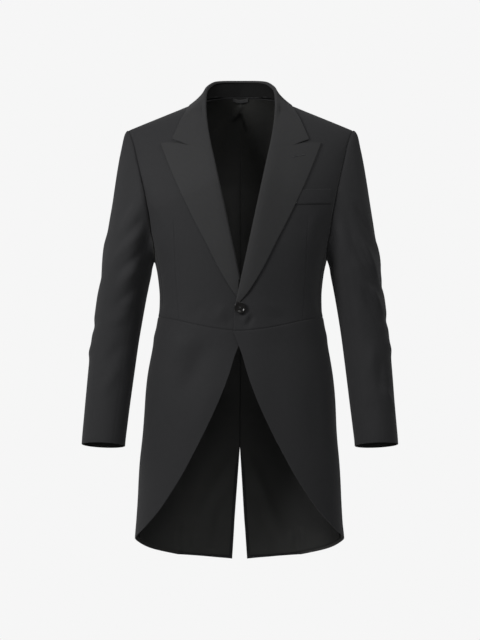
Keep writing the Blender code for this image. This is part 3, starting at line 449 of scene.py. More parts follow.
@dataclass(frozen=True)
class Crease:
    """One soft trough or ridge, drawn along a bent line as seen from one side.

    The path's points are two coordinates each. depth is how far it stands out, or in where it's below 0.
    start and end give how much of the depth is left at each end, and lean sharpens one flank. grown and
    fading are shares of its length, and facing is how far the cloth has to face the eye to be moved.
    """

    seen: Seen
    path: tuple[Pair, ...]
    half_width: float
    depth: float
    start: float = 0.0
    end: float = 0.0
    lean: float = 0.0
    grown: float = 0.4
    fading: float = 0.5
    facing: Pair = (0.05, 0.45)

    def height(self, points: Array, normals: Array) -> Array:
        """Tells how far the crease moves each point along its normal."""
        first, second, eye = self.seen.value
        flat = np.stack([points[..., first], points[..., second]], axis=-1)
        path = np.asarray(self.path, float)
        lengths = np.linalg.norm(np.diff(path, axis=0), axis=1)
        total, walked = lengths.sum(), 0.0
        nearest = np.full(flat.shape[:-1], np.inf)
        across, along = np.zeros(nearest.shape), np.zeros(nearest.shape)
        for start, end, length in zip(path[:-1], path[1:], lengths):
            way = (end - start) / length
            off = flat - start
            run = np.clip(off @ way, 0, length)
            gap = np.linalg.norm(off - run[..., None] * way, axis=-1)
            closer = gap < nearest
            sign = np.sign(off[..., 0] * way[1] - off[..., 1] * way[0])
            across = np.where(closer, gap * sign, across)
            along = np.where(closer, (walked + run) / total, along)
            nearest = np.minimum(nearest, gap)
            walked += length
        width = self.half_width * (1 + self.lean * np.sign(across))
        body = np.exp(-((across / width) ** 2))
        rise = self.start + (1 - self.start) * between(along, 0.0, self.grown)
        fall = self.end + (1 - self.end) * (1 - between(along, self.fading, 1.0))
        turned = between(normals @ np.asarray(eye, float), *self.facing)
        return self.depth * body * rise * fall * turned


def drawn(seen: Seen, *rows: tuple) -> tuple[Crease, ...]:
    """Gives creases seen from one side. A row is a path, a half width, a depth, and start, end and lean."""
    return tuple(Crease(seen, *row) for row in rows)


def grid_normals(grid: Array, side: int = 1) -> Array:
    """Gives a grid's outward unit normals.

    Its rows run down, and its columns from the front to the back. Where they run to the front, as on the
    backs and the linings, side is given with the other sign.
    """
    along = np.gradient(grid, axis=1)
    down = np.gradient(grid, axis=0)
    return unit(np.cross(along, -down)) * side


def creased(grid: Array, side: int, creases: Sequence[Crease]) -> Array:
    """Moves a grid's points out and in by all the creases that reach it."""
    normals = grid_normals(grid, side)
    total = sum(crease.height(grid, normals) for crease in creases)
    return grid + normals * total[..., None]


def shown(mesh: bpy.types.Mesh) -> bpy.types.Object:
    """Puts a mesh in the scene, under its own name."""
    made = bpy.data.objects.new(mesh.name, mesh)
    bpy.context.scene.collection.objects.link(made)
    return made


def doubled(left: Array, right: Array) -> Array:
    """Joins the left half of a grid to its right half, which is given on the +X side too."""
    return np.concatenate([right[:, :0:-1] * np.array([-1.0, 1.0, 1.0]), left], axis=1)


def stacked(rows: Iterable[tuple[Array, Array]]) -> tuple[Array, Array]:
    """Turns rows of angles and heights into two grids."""
    angles, heights = zip(*rows)
    return np.array(angles), np.array(heights)


class Edge(Enum):
    """How a panel's edge is finished: how far it sinks at a seam, how far in, and how round its rim is."""

    SEAM = (0.75, 1.5, 0.0)
    DEEP_SEAM = (1.2, 2.4, 0.0)
    FLAT_SEAM = (0.2, 1.2, 0.0)
    HIDDEN = (0.0, 1.0, 0.0)
    FREE = (0.0, 1.0, 1.0)

    def __init__(self, depth: float, reach: float, roundness: float) -> None:
        """Names the three values."""
        self.depth, self.reach, self.roundness = depth, reach, roundness


@dataclass(frozen=True)
class Cut:
    """The size that a piece of cloth was cut to, in metres, and its share of that rectangle."""

    width: float
    length: float
    share: float
    rests_on: tuple[str, ...] = ()


@dataclass
class Piece:
    """One cut piece of cloth: the grid of its outer side, and how its four edges are finished."""

    node: str
    grid: Array
    side: int = 1
    thickness: float = 1.8
    top: Edge = Edge.SEAM
    bottom: Edge = Edge.SEAM
    first: Edge = Edge.SEAM
    last: Edge = Edge.SEAM
    rim_steps: int = 4
    sharp_past: float = 52.0
    seam_row: int = 0
    # rim_shade is painted shade on the rims, where the gaps between parts lie in shade; free_shade is the
    # same on free edges.
    rim_shade: float = 2.2
    free_shade: float = 0.3
    groove: Array | None = None
    groove_depth: float = 0.5
    groove_shade: float = 0.6
    shade_reach: float = 0.8
    shade: Array | None = None
    shade_inner: bool = False

    def sink_seams(self) -> tuple[Array, Array]:
        """Rounds the cloth in at its seams.

        Returns:
            The grid, and how near each point is to a seam, from 0 to 1.
        """
        grid = np.array(self.grid, float)
        normals = grid_normals(grid, self.side)
        near = np.zeros(grid.shape[:2])
        sink = np.zeros(grid.shape[:2])
        ends = ((self.top, 0, False), (self.bottom, 0, True), (self.first, 1, False), (self.last, 1, True))
        for edge, axis, from_end in ends:
            if edge.depth == 0:
                continue
            run = self.walked(grid, axis)
            if from_end:
                run = np.take(run, [-1], axis=axis) - run
            elif axis == 0:
                run = np.maximum(run - run[self.seam_row], 0)
            sink = np.maximum(sink, edge.depth * np.exp(-((run / edge.reach) ** 2)))
            dark = np.exp(-((run / (edge.reach * self.shade_reach)) ** 2))
            near = np.maximum(near, dark * min(1.0, edge.depth / Edge.SEAM.depth))
        if self.groove is not None:
            sink = np.maximum(sink, self.groove * self.groove_depth)
            near = np.maximum(near, self.groove * self.groove_shade)
        return grid - normals * sink[..., None], near

    @staticmethod
    def walked(grid: Array, axis: int) -> Array:
        """Gives how far each point lies along its row or column."""
        lengths = np.linalg.norm(np.diff(grid, axis=axis), axis=-1)
        start = np.zeros_like(np.take(lengths, [0], axis=axis))
        return np.concatenate([start, np.cumsum(lengths, axis=axis)], axis=axis)

    def rim(self, outer: Array, inner: Array) -> tuple[list[Array], list[tuple[int, int]]]:
        """Gives the points between the outer and inner side round the whole edge, one ring for each step."""
        rows, columns = outer.shape[:2]
        loop = [(0, c) for c in range(columns)] + [(r, columns - 1) for r in range(1, rows)]
        loop += [(rows - 1, c) for c in range(columns - 2, -1, -1)] + [(r, 0) for r in range(rows - 2, 0, -1)]
        out = np.zeros_like(outer)
        out[0] += unit(outer[0] - outer[1]) * self.top.roundness
        out[-1] += unit(outer[-1] - outer[-2]) * self.bottom.roundness
        out[:, 0] += unit(outer[:, 0] - outer[:, 1]) * self.first.roundness
        out[:, -1] += unit(outer[:, -1] - outer[:, -2]) * self.last.roundness
        size = np.linalg.norm(out, axis=-1, keepdims=True)
        out = out / np.maximum(size, 1)
        spots = tuple(np.array(loop).T)
        top, low, way = outer[spots], inner[spots], out[spots]
        middle, half = (top + low) / 2, (top - low) / 2
        reach = np.linalg.norm(half, axis=-1, keepdims=True)
        rings = []
        for step in np.linspace(0, np.pi, self.rim_steps + 1)[1:-1]:
            rings.append(middle + half * np.cos(step) + way * reach * np.sin(step))
        return rings, loop

    def faces(self, number: Array, spots: Array, rings: int) -> Array:
        """Gives all faces: the outer side's, the inner side's, then those of the rim between them.

        Args:
            number: the outer side's points by row and column. The inner side's follow them.
            spots: those at the edge, in order round it.
            rings: how many rings of points lie between the two sides.

        Returns:
            Four corners for each face.
        """
        size = number.size
        corners = [number[:-1, :-1], number[:-1, 1:], number[1:, 1:], number[1:, :-1]]
        quads = np.stack(corners, axis=-1).reshape(-1, 4)
        levels = [spots] + [2 * size + len(spots) * k + np.arange(len(spots)) for k in range(rings)]
        levels.append(spots + size)
        rims = [
            np.stack([np.roll(high, -1), high, low, np.roll(low, -1)], axis=-1)
            for high, low in zip(levels[:-1], levels[1:])
        ]
        faces = np.concatenate([quads[:, ::-1], quads + size, *rims])
        return faces[:, ::-1] if self.side < 0 else faces

    def build(self, finish: "Finish", under: "Finish | None" = None) -> bpy.types.Object:
        """Makes the piece as a closed thin shell.

        Args:
            finish: what its outer side and its rim look like.
            under: what its inner side looks like, or None for the same.

        Returns:
            The object.
        """
        outer, near = self.sink_seams()
        inner = outer - grid_normals(np.array(self.grid, float), self.side) * self.thickness
        rings, loop = self.rim(outer, inner)
        number = np.arange(outer.shape[0] * outer.shape[1]).reshape(outer.shape[:2])
        spots = np.array([number[place] for place in loop])
        points = np.concatenate([outer.reshape(-1, 3), inner.reshape(-1, 3), *rings])
        faces = self.faces(number, spots, len(rings))
        mesh = bpy.data.meshes.new(f"{self.node}_cloth")
        mesh.vertices.add(len(points))
        mesh.vertices.foreach_set("co", (points * MM).astype(np.float32).ravel())
        mesh.loops.add(len(faces) * 4)
        mesh.loops.foreach_set("vertex_index", faces.ravel().astype(np.int32))
        mesh.polygons.add(len(faces))
        mesh.polygons.foreach_set("loop_start", np.arange(0, len(faces) * 4, 4, dtype=np.int32))
        self.paint(mesh, outer, near, spots, faces)
        mesh.materials.append(finish.material())
        if under is not None:
            mesh.materials.append(under.material())
            side_faces = (number.shape[0] - 1) * (number.shape[1] - 1)
            kinds = np.zeros(len(faces), np.int32)
            kinds[side_faces : 2 * side_faces] = 1
            mesh.polygons.foreach_set("material_index", kinds)
        mesh.update()
        mesh.validate()
        mesh.shade_smooth()
        mesh.set_sharp_from_angle(angle=np.radians(self.sharp_past))
        return shown(mesh)

    def paint(self, mesh: bpy.types.Mesh, outer: Array, near: Array, spots: Array, faces: Array) -> None:
        """Gives the mesh its cloth coordinates in millimetres and its seam number: the seams' darkening and
        the painted shade.
        """
        across, along = self.walked(outer, 1), self.walked(outer, 0)
        across = across - across[:, across.shape[1] // 2][:, None]
        flat = np.stack([across, -along], axis=-1).reshape(-1, 2)
        rim_count = self.rim_steps - 1
        cloth = np.concatenate([flat, flat, *[flat[spots]] * rim_count])
        layer = mesh.uv_layers.new(name="cloth")
        layer.data.foreach_set("uv", cloth[faces.ravel()].astype(np.float32).ravel())
        shade = near if self.shade is None else np.maximum(near, self.shade)
        inner = shade.ravel() * (1 if self.shade_inner else 0)
        rim = np.full(outer.shape[:2], self.rim_shade)
        places = (np.s_[0, :], np.s_[-1, :], np.s_[:, 0], np.s_[:, -1])
        for edge, place in zip((self.top, self.bottom, self.first, self.last), places):
            rim[place] = self.free_shade if edge.roundness > 0 else rim[place]
        rim = np.maximum(shade, rim).ravel()[spots]
        full = np.concatenate([shade.ravel(), inner, *[rim] * rim_count])
        # The seam number holds the seams' darkening together with painted shade on rims, edges and hollows.
        attribute = mesh.attributes.new("seam", "FLOAT", "POINT")
        attribute.data.foreach_set("value", full.astype(np.float32))


class Shade:
    """A number in a shader. Python's operators on it add Math nodes."""

    def __init__(self, board: "Board", socket: Any) -> None:
        """Wraps an output socket of a board's tree."""
        self.board = board
        self.socket = socket

    def _maths(self, operation: str, *values: Any) -> "Shade":
        """Adds one Math node and gives its result."""
        node = self.board.node("ShaderNodeMath", {"operation": operation}, dict(enumerate(values)))
        return Shade(self.board, node.outputs[0])

    def __add__(self, other: Any) -> "Shade":
        """Adds."""
        return self._maths("ADD", self, other)

    __radd__ = __add__

    def __mul__(self, other: Any) -> "Shade":
        """Multiplies."""
        return self._maths("MULTIPLY", self, other)

    __rmul__ = __mul__

    def __sub__(self, other: Any) -> "Shade":
        """Subtracts."""
        return self._maths("SUBTRACT", self, other)

    def __rsub__(self, other: Any) -> "Shade":
        """Subtracts from the other."""
        return self._maths("SUBTRACT", other, self)

    def sine(self) -> "Shade":
        """Gives the sine."""
        return self._maths("SINE", self)

    def clamped(self) -> "Shade":
        """Keeps it from 0 to 1."""
        return self._maths("MINIMUM", self._maths("MAXIMUM", self, 0.0), 1.0)


class Board:
    """The node tree of a material or a surround."""

    def __init__(self, owner: Any) -> None:
        """Starts on a new material or surround."""
        owner.use_nodes = True
        self.owner = owner
        self.tree = owner.node_tree

    def node(
        self, kind: str, settings: dict[str, Any] | None = None, inputs: dict[Any, Any] | None = None
    ) -> Any:
        """Adds one node.

        Args:
            kind: the node's type.
            settings: its properties, set first.
            inputs: values or links, by socket name or number.

        Returns:
            The node.
        """
        node = self.tree.nodes.new(kind)
        for key, value in (settings or {}).items():
            setattr(node, key, value)
        for key, value in (inputs or {}).items():
            self.feed(node.inputs[key], value)
        return node

    def feed(self, socket: Any, value: Any) -> None:
        """Links a socket to a shade or an output, or sets its value."""
        if isinstance(value, Shade):
            value = value.socket
        if isinstance(value, bpy.types.NodeSocket):
            self.tree.links.new(value, socket)
        else:
            socket.default_value = value

    def cloth_coordinates(self) -> tuple[Any, Shade, Shade]:
        """Gives the place on the cloth in millimetres: as a vector, across and along."""
        place = self.node("ShaderNodeUVMap", {"uv_map": "cloth"}).outputs["UV"]
        parts = self.node("ShaderNodeSeparateXYZ", {}, {0: place})
        return place, Shade(self, parts.outputs[0]), Shade(self, parts.outputs[1])

    def attribute(self, name: str) -> Shade:
        """Reads one of the mesh's own numbers."""
        return Shade(self, self.node("ShaderNodeAttribute", {"attribute_name": name}).outputs["Fac"])

    def noise(self, place: Any, scale: float, detail: float) -> Shade:
        """Gives a soft random pattern about 0, from -1 to 1."""
        inputs = {"Vector": place, "Scale": scale, "Detail": detail}
        node = self.node("ShaderNodeTexNoise", {"noise_dimensions": "3D"}, inputs)
        return (Shade(self, node.outputs["Fac"]) - 0.5) * 2.0

    def mix(self, factor: Any, low: Any, high: Any) -> Any:
        """Mixes two colours, each a tuple or a link."""
        node = self.node("ShaderNodeMix", {"data_type": "RGBA"}, {"Factor": factor})
        for key, colour in (("A", low), ("B", high)):
            self.feed(node.inputs[key], (*colour, 1.0) if isinstance(colour, tuple) else colour)
        return node.outputs["Result"]

    def with_seams_and_painted_shade(self, cloth: Any, depth: float, dark: Colour) -> Any:
        """Darkens a cloth's colour by the seam number that its mesh carries, which holds both the seams'
        darkening and painted shade.
        """
        return self.mix((1.0 - self.attribute("seam") * depth).clamped(), dark, cloth)

    def dress(
        self, colour: Any, roughness: Any, relief: Shade | None = None, height: float = 0.0, **fixed: float
    ) -> bpy.types.Material:
        """Sets the Principled shader.

        Args:
            colour: its base colour.
            roughness: its roughness.
            relief: the surface's fine shape, of about 1.
            height: how high the relief stands, in millimetres.
            fixed: other inputs' values, by name with _ for a space.

        Returns:
            The material.
        """
        shader = self.tree.nodes["Principled BSDF"]
        self.feed(shader.inputs["Base Color"], colour)
        self.feed(shader.inputs["Roughness"], roughness)
        for name, value in fixed.items():
            self.feed(shader.inputs[name.replace("_", " ")], value)
        if relief is not None:
            inputs = {"Height": relief, "Distance": height * MM, "Strength": 1.0}
            bump = self.node("ShaderNodeBump", {}, inputs)
            self.feed(shader.inputs["Normal"], bump.outputs["Normal"])
        return self.owner


class Finish:
    """A finish that makes its material once."""

    name: str

    def material(self) -> bpy.types.Material:
        """Gives the material, made on first use."""
        return bpy.data.materials.get(self.name) or self.make(Board(bpy.data.materials.new(self.name)))

    def make(self, board: Board) -> bpy.types.Material:
        """Makes the material on its board."""
        raise NotImplementedError


@dataclass(frozen=True)
class Twill(Finish):
    """Worsted wool twill: fine diagonal ribs, a soft mottle, darker along seams and where its mesh carries
    painted shade.
    """

    name: str = "wool_twill"
    dark: Colour = (0.0139, 0.0139, 0.0149)
    light: Colour = (0.0217, 0.0217, 0.0230)
    # The seams and the painted shade darken the cloth toward this colour.
    seam: Colour = (0.003, 0.003, 0.0033)
    roughness: float = 0.82
    sheen: float = 0.10
    sheen_roughness: float = 0.45
    specular: float = 0.28
    pitch: float = 0.85
    rib_height: float = 0.05
    seam_and_shade_depth: float = 0.35

    def make(self, board: Board) -> bpy.types.Material:
        """Makes the material on its board."""
        place, across, along = board.cloth_coordinates()
        turn = 2 * np.pi / self.pitch
        rib = ((across + along * 0.55) * turn).sine()
        yarn = ((across - along * 1.8) * (turn * 1.1)).sine()
        mottle = board.noise(place, 0.11, 3.0)
        grain = board.noise(place, 0.9, 2.0)
        tone = (0.5 + mottle * 0.22 + grain * 0.22 + rib * 0.12).clamped()
        return board.dress(
            board.with_seams_and_painted_shade(board.mix(tone, self.dark, self.light), self.seam_and_shade_depth, self.seam),
            self.roughness + grain * 0.05,
            rib * 0.5 + yarn * 0.3 + grain * 0.5,
            self.rib_height,
            Specular_IOR_Level=self.specular,
            Sheen_Weight=self.sheen,
            Sheen_Roughness=self.sheen_roughness,
        )


@dataclass(frozen=True)
class Lining(Finish):
    """Smooth black lining with a faint twill and soft long ripples, darker along seams and where its mesh
    carries painted shade.
    """

    name: str = "black_lining"
    dark: Colour = (0.0170, 0.0172, 0.0158)
    light: Colour = (0.0250, 0.0252, 0.0236)
    # The seams and the painted shade darken the lining toward this colour.
    seam: Colour = (0.002, 0.002, 0.002)
    roughness: float = 0.55
    specular: float = 0.3
    pitch: float = 0.5
    ripple_height: float = 0.06
    seam_and_shade_depth: float = 0.62

    def make(self, board: Board) -> bpy.types.Material:
        """Makes the material on its board."""
        place, across, along = board.cloth_coordinates()
        rib = ((across - along) * (2 * np.pi / self.pitch)).sine()
        mottle = board.noise(place, 0.05, 2.0)
        tone = (0.5 + mottle * 0.3 + rib * 0.08).clamped()
        return board.dress(
            board.with_seams_and_painted_shade(board.mix(tone, self.dark, self.light), self.seam_and_shade_depth, self.seam),
            self.roughness + mottle * 0.06,
            rib * 0.4 + mottle * 2.0,
            self.ripple_height,
            Specular_IOR_Level=self.specular,
        )


@dataclass(frozen=True)
class Grained(Finish):
    """A fine random grain between two colours."""

    name: str
    dark: Colour
    light: Colour
    roughness: float
    grain: float
    detail: float
    unevenness: float
    height: float
    specular: float = 0.5

    def make(self, board: Board) -> bpy.types.Material:
        """Makes the material on its board."""
        grain = board.noise(board.node("ShaderNodeTexCoord").outputs["Object"], self.grain, self.detail)
        return board.dress(
            board.mix((0.5 + grain * 0.5).clamped(), self.dark, self.light),
            self.roughness + grain * self.unevenness,
            grain,
            self.height,
            Specular_IOR_Level=self.specular,
        )


HORN = Grained(
    "black_horn", (0.006, 0.006, 0.0065), (0.016, 0.015, 0.014),
    roughness=0.12, grain=260.0, detail=4.0, unevenness=0.05, height=0.02, specular=0.2,
)
THREAD = Grained(
    "black_thread", (0.012, 0.012, 0.013), (0.03, 0.03, 0.032),
    roughness=0.5, grain=2500.0, detail=2.0, unevenness=0.08, height=0.03,
)
# A paler copy of the lining: painted highlight on the hanger loop and the neck's felling, where they catch
# the light.
LINING_PAINTED_HIGHLIGHT = Lining("lining_painted_highlight", (0.026,) * 3, (0.038, 0.038, 0.039), roughness=0.8)
# A lighter copy of the wool: painted light on the lapels and the collar's fall, which face the light.
LAPEL_TWILL_PAINTED_LIGHT = Twill("lapel_twill_painted_light", (0.0190,) * 3, (0.0285, 0.0285, 0.0298))
# A darker copy of the wool: painted shade on the collar stand.
STAND_TWILL_PAINTED_SHADE = Twill("stand_twill_painted_shade", (0.0035,) * 3, (0.0060,) * 3, sheen=0.0, specular=0.12)


@dataclass
class Wardrobe:
    """What every sub-assembly shares: the figure, the pattern, the cloths and the grid's step."""

    figure: Figure = Figure()
    step: float = 4.2
    wool: Finish = Twill()
    lining: Finish = Lining()

    def __post_init__(self) -> None:
        """Draws the pattern on the figure."""
        self.pattern = Pattern(self.figure)

    def hang(self, made: bpy.types.Object, slot: str, *nodes: str) -> None:
        """Makes a piece ride on the coat's body and stand for its solids.

        Args:
            made: the piece.
            slot: its material slot. Not used.
            nodes: the solids that it stands for.
        """
        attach(made, "root")
        if nodes:
            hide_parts(*nodes)
        LOG.info("%s: %d faces", made.name, len(made.data.polygons))

    def sew(
        self, piece: Piece, cut: Cut, finish: Finish, under: Finish | None = None, slot: str = "wool"
    ) -> None:
        """Makes a piece of cloth and hangs it on the coat's body.

        Args:
            piece: the piece. Its node is the solid that it stands for.
            cut: the size that it was cut to. Not used.
            finish: what its outer side looks like.
            under: what its inner side looks like, or None for the same.
            slot: its material slot.
        """
        made = piece.build(finish, under)
        self.hang(made, slot, piece.node)

    def lines(self, length: float, fine_start: bool = True, fine_end: bool = True) -> Array:
        """Places a grid's lines over a length at the shop's step, from 0 to 1."""
        return spread(length, self.step, fine_start, fine_end)

    def lift(self, side: int) -> float:
        """Gives how far a front lies over the other at the centre."""
        return self.figure.lap_lift if side > 0 else 0.0


BODY_CREASES = (
    *drawn(
        Seen.FRONT,
        (((17, -416), (11, -432), (4, -448)), 5, 3),
        (((25, -424), (18, -440), (9, -456)), 4.5, -3),
        (((-27, -402), (-40, -424), (-52, -448)), 10, 2.4),
        (((-14, -424), (-22, -440), (-30, -456)), 6, -1.3),
        (((-62, -395), (-92, -424), (-118, -446)), 11, -1.2),
        (((30, -398), (62, -412), (96, -418)), 9, 1.2),
        (((44, -428), (74, -436), (104, -434)), 8, -0.9),
        (((-56, -456), (-80, -508), (-106, -566), (-122, -620)), 21, -7.5),
        (((-108, -462), (-124, -496), (-134, -534)), 15, 3.4),
        (((-50, -540), (-70, -610), (-96, -680)), 20, 3.2),
        (((-150, -600), (-152, -680), (-158, -760)), 17, -1.8),
        (((52, -480), (92, -560), (118, -660)), 24, 1.4),
        (((140, -520), (148, -620), (158, -740)), 16, -1.8),
        (((-186, -205), (-170, -245), (-150, -275)), 10, -1.8),
        (((-178, -255), (-160, -290), (-148, -330)), 9, 1.6),
        (((184, -208), (168, -250), (150, -292)), 10, -1.8),
        (((150, -215), (140, -262), (146, -300)), 11, 1.4),
    ),
    *drawn(
        Seen.LEFT,
        (((-70, -395), (-20, -420), (30, -424)), 12, -1.8),
        (((-50, -452), (-10, -470), (40, -468)), 13, 1.4),
        (((-30, -560), (-12, -660), (0, -790)), 22, -2),
    ),
    *drawn(
        Seen.RIGHT,
        (((-66, -390), (-24, -416), (24, -428)), 12, -1.7),
        (((-40, -456), (0, -474), (48, -470)), 13, 1.5),
        (((-20, -540), (-6, -650), (10, -780)), 22, -2.2),
    ),
    *drawn(
        Seen.BACK,
        (((-150, -120), (-118, -180), (-96, -250)), 16, -1.8),
        (((156, -128), (120, -190), (104, -262)), 16, -1.8),
        (((-84, -395), (-30, -412), (26, -414), (88, -400)), 12, -1.6),
        (((-96, -432), (-20, -446), (70, -440)), 12, 1.2),
        (((-30, -500), (-66, -620), (-88, -780)), 20, 2.2),
        (((34, -520), (70, -650), (96, -830)), 20, 2.4),
        (((-120, -560), (-128, -700), (-122, -860)), 18, -2),
        (((128, -580), (134, -700), (126, -850)), 18, -2.2),
        (((-40, -780), (-48, -850), (-50, -930)), 12, -1.6, 0, 1),
        (((52, -800), (60, -860), (58, -925)), 12, -1.5, 0, 1),
    ),
)

RIGHT_SLEEVE_CREASES = (
    *drawn(
        Seen.FRONT,
        (((-193, -178), (-212, -262), (-222, -345), (-226, -400)), 17, 9.5, 0.6, 0.5),
        (((-194, -192), (-222, -236), (-250, -280)), 12, 4.5),
        (((-190, -222), (-216, -262), (-244, -296)), 8, -3.9),
        (((-188, -250), (-222, -282), (-266, -338)), 11, 5.1),
        (((-190, -286), (-222, -322), (-254, -356)), 8, -3.9),
        (((-200, -322), (-228, -352), (-252, -388)), 10, 4.2),
        (((-206, -362), (-232, -392), (-262, -420)), 9, -3),
        (((-216, -412), (-244, -436), (-276, -446)), 12, 2.7),
        (((-224, -474), (-250, -500), (-284, -540)), 13, -2.7),
        (((-236, -520), (-262, -560), (-288, -600)), 12, 2.5),
    ),
    *drawn(
        Seen.RIGHT,
        (((-30, -250), (4, -300), (26, -352)), 13, 3.3),
        (((-24, -330), (8, -372), (40, -400)), 12, -3.3),
        (((-52, -430), (-14, -452), (30, -446)), 11, -3),
        (((-50, -480), (-20, -502), (20, -500)), 12, 2.7),
    ),
    *drawn(
        Seen.BACK,
        (((-196, -210), (-226, -262), (-246, -318)), 13, -3.6),
        (((-206, -290), (-232, -332), (-260, -360)), 11, 3.3),
        (((-222, -404), (-250, -424), (-282, -432)), 11, -3.6),
        (((-224, -452), (-254, -470), (-288, -468)), 11, 3),
    ),
)

LEFT_SLEEVE_CREASES = (
    *drawn(
        Seen.FRONT,
        (((228, -196), (246, -236), (266, -280)), 7, -3.6, 0, 0, 0.3),
        (((236, -268), (252, -300), (276, -350)), 5.5, 5.4, 0, 0.3, -0.5),
        (((222, -276), (242, -318), (268, -366)), 8, -3.9, 0, 0.5),
        (((254, -360), (268, -388), (286, -424)), 5, 5.2, 0, 0.3, -0.5),
        (((240, -366), (258, -404), (280, -440)), 8, -3.4, 0, 0.5),
        (((226, -380), (236, -432), (254, -480)), 12, 2.2),
        (((268, -470), (262, -520), (258, -568)), 10, 2.5),
        (((284, -500), (280, -552), (286, -600)), 9, -2.5),
        (((280, -562), (294, -588), (308, -614)), 6.5, 3.1, 0, 0.6),
        (((250, -590), (262, -630), (264, -668)), 12, -2),
        (((196, -232), (206, -284), (212, -346)), 11, 3.1),
        (((206, -210), (222, -262), (232, -330)), 9, -2.2),
    ),
    *drawn(
        Seen.LEFT,
        (((-40, -262), (-6, -306), (20, -356)), 12, 3.4),
        (((-46, -330), (-10, -366), (32, -398)), 11, -3.4),
        (((-48, -424), (-10, -440), (34, -436)), 11, -2.8),
        (((-54, -474), (-24, -496), (18, -498)), 12, 2.5),
    ),
    *drawn(
        Seen.BACK,
        (((198, -214), (228, -268), (248, -322)), 13, -3.4),
        (((208, -296), (236, -340), (264, -372)), 11, 3.1),
        (((224, -410), (252, -432), (284, -438)), 11, -3.4),
        (((228, -458), (256, -478), (290, -476)), 11, 2.8),
    ),
)

SLEEVE_CREASES = {"left": LEFT_SLEEVE_CREASES, "right": RIGHT_SLEEVE_CREASES}


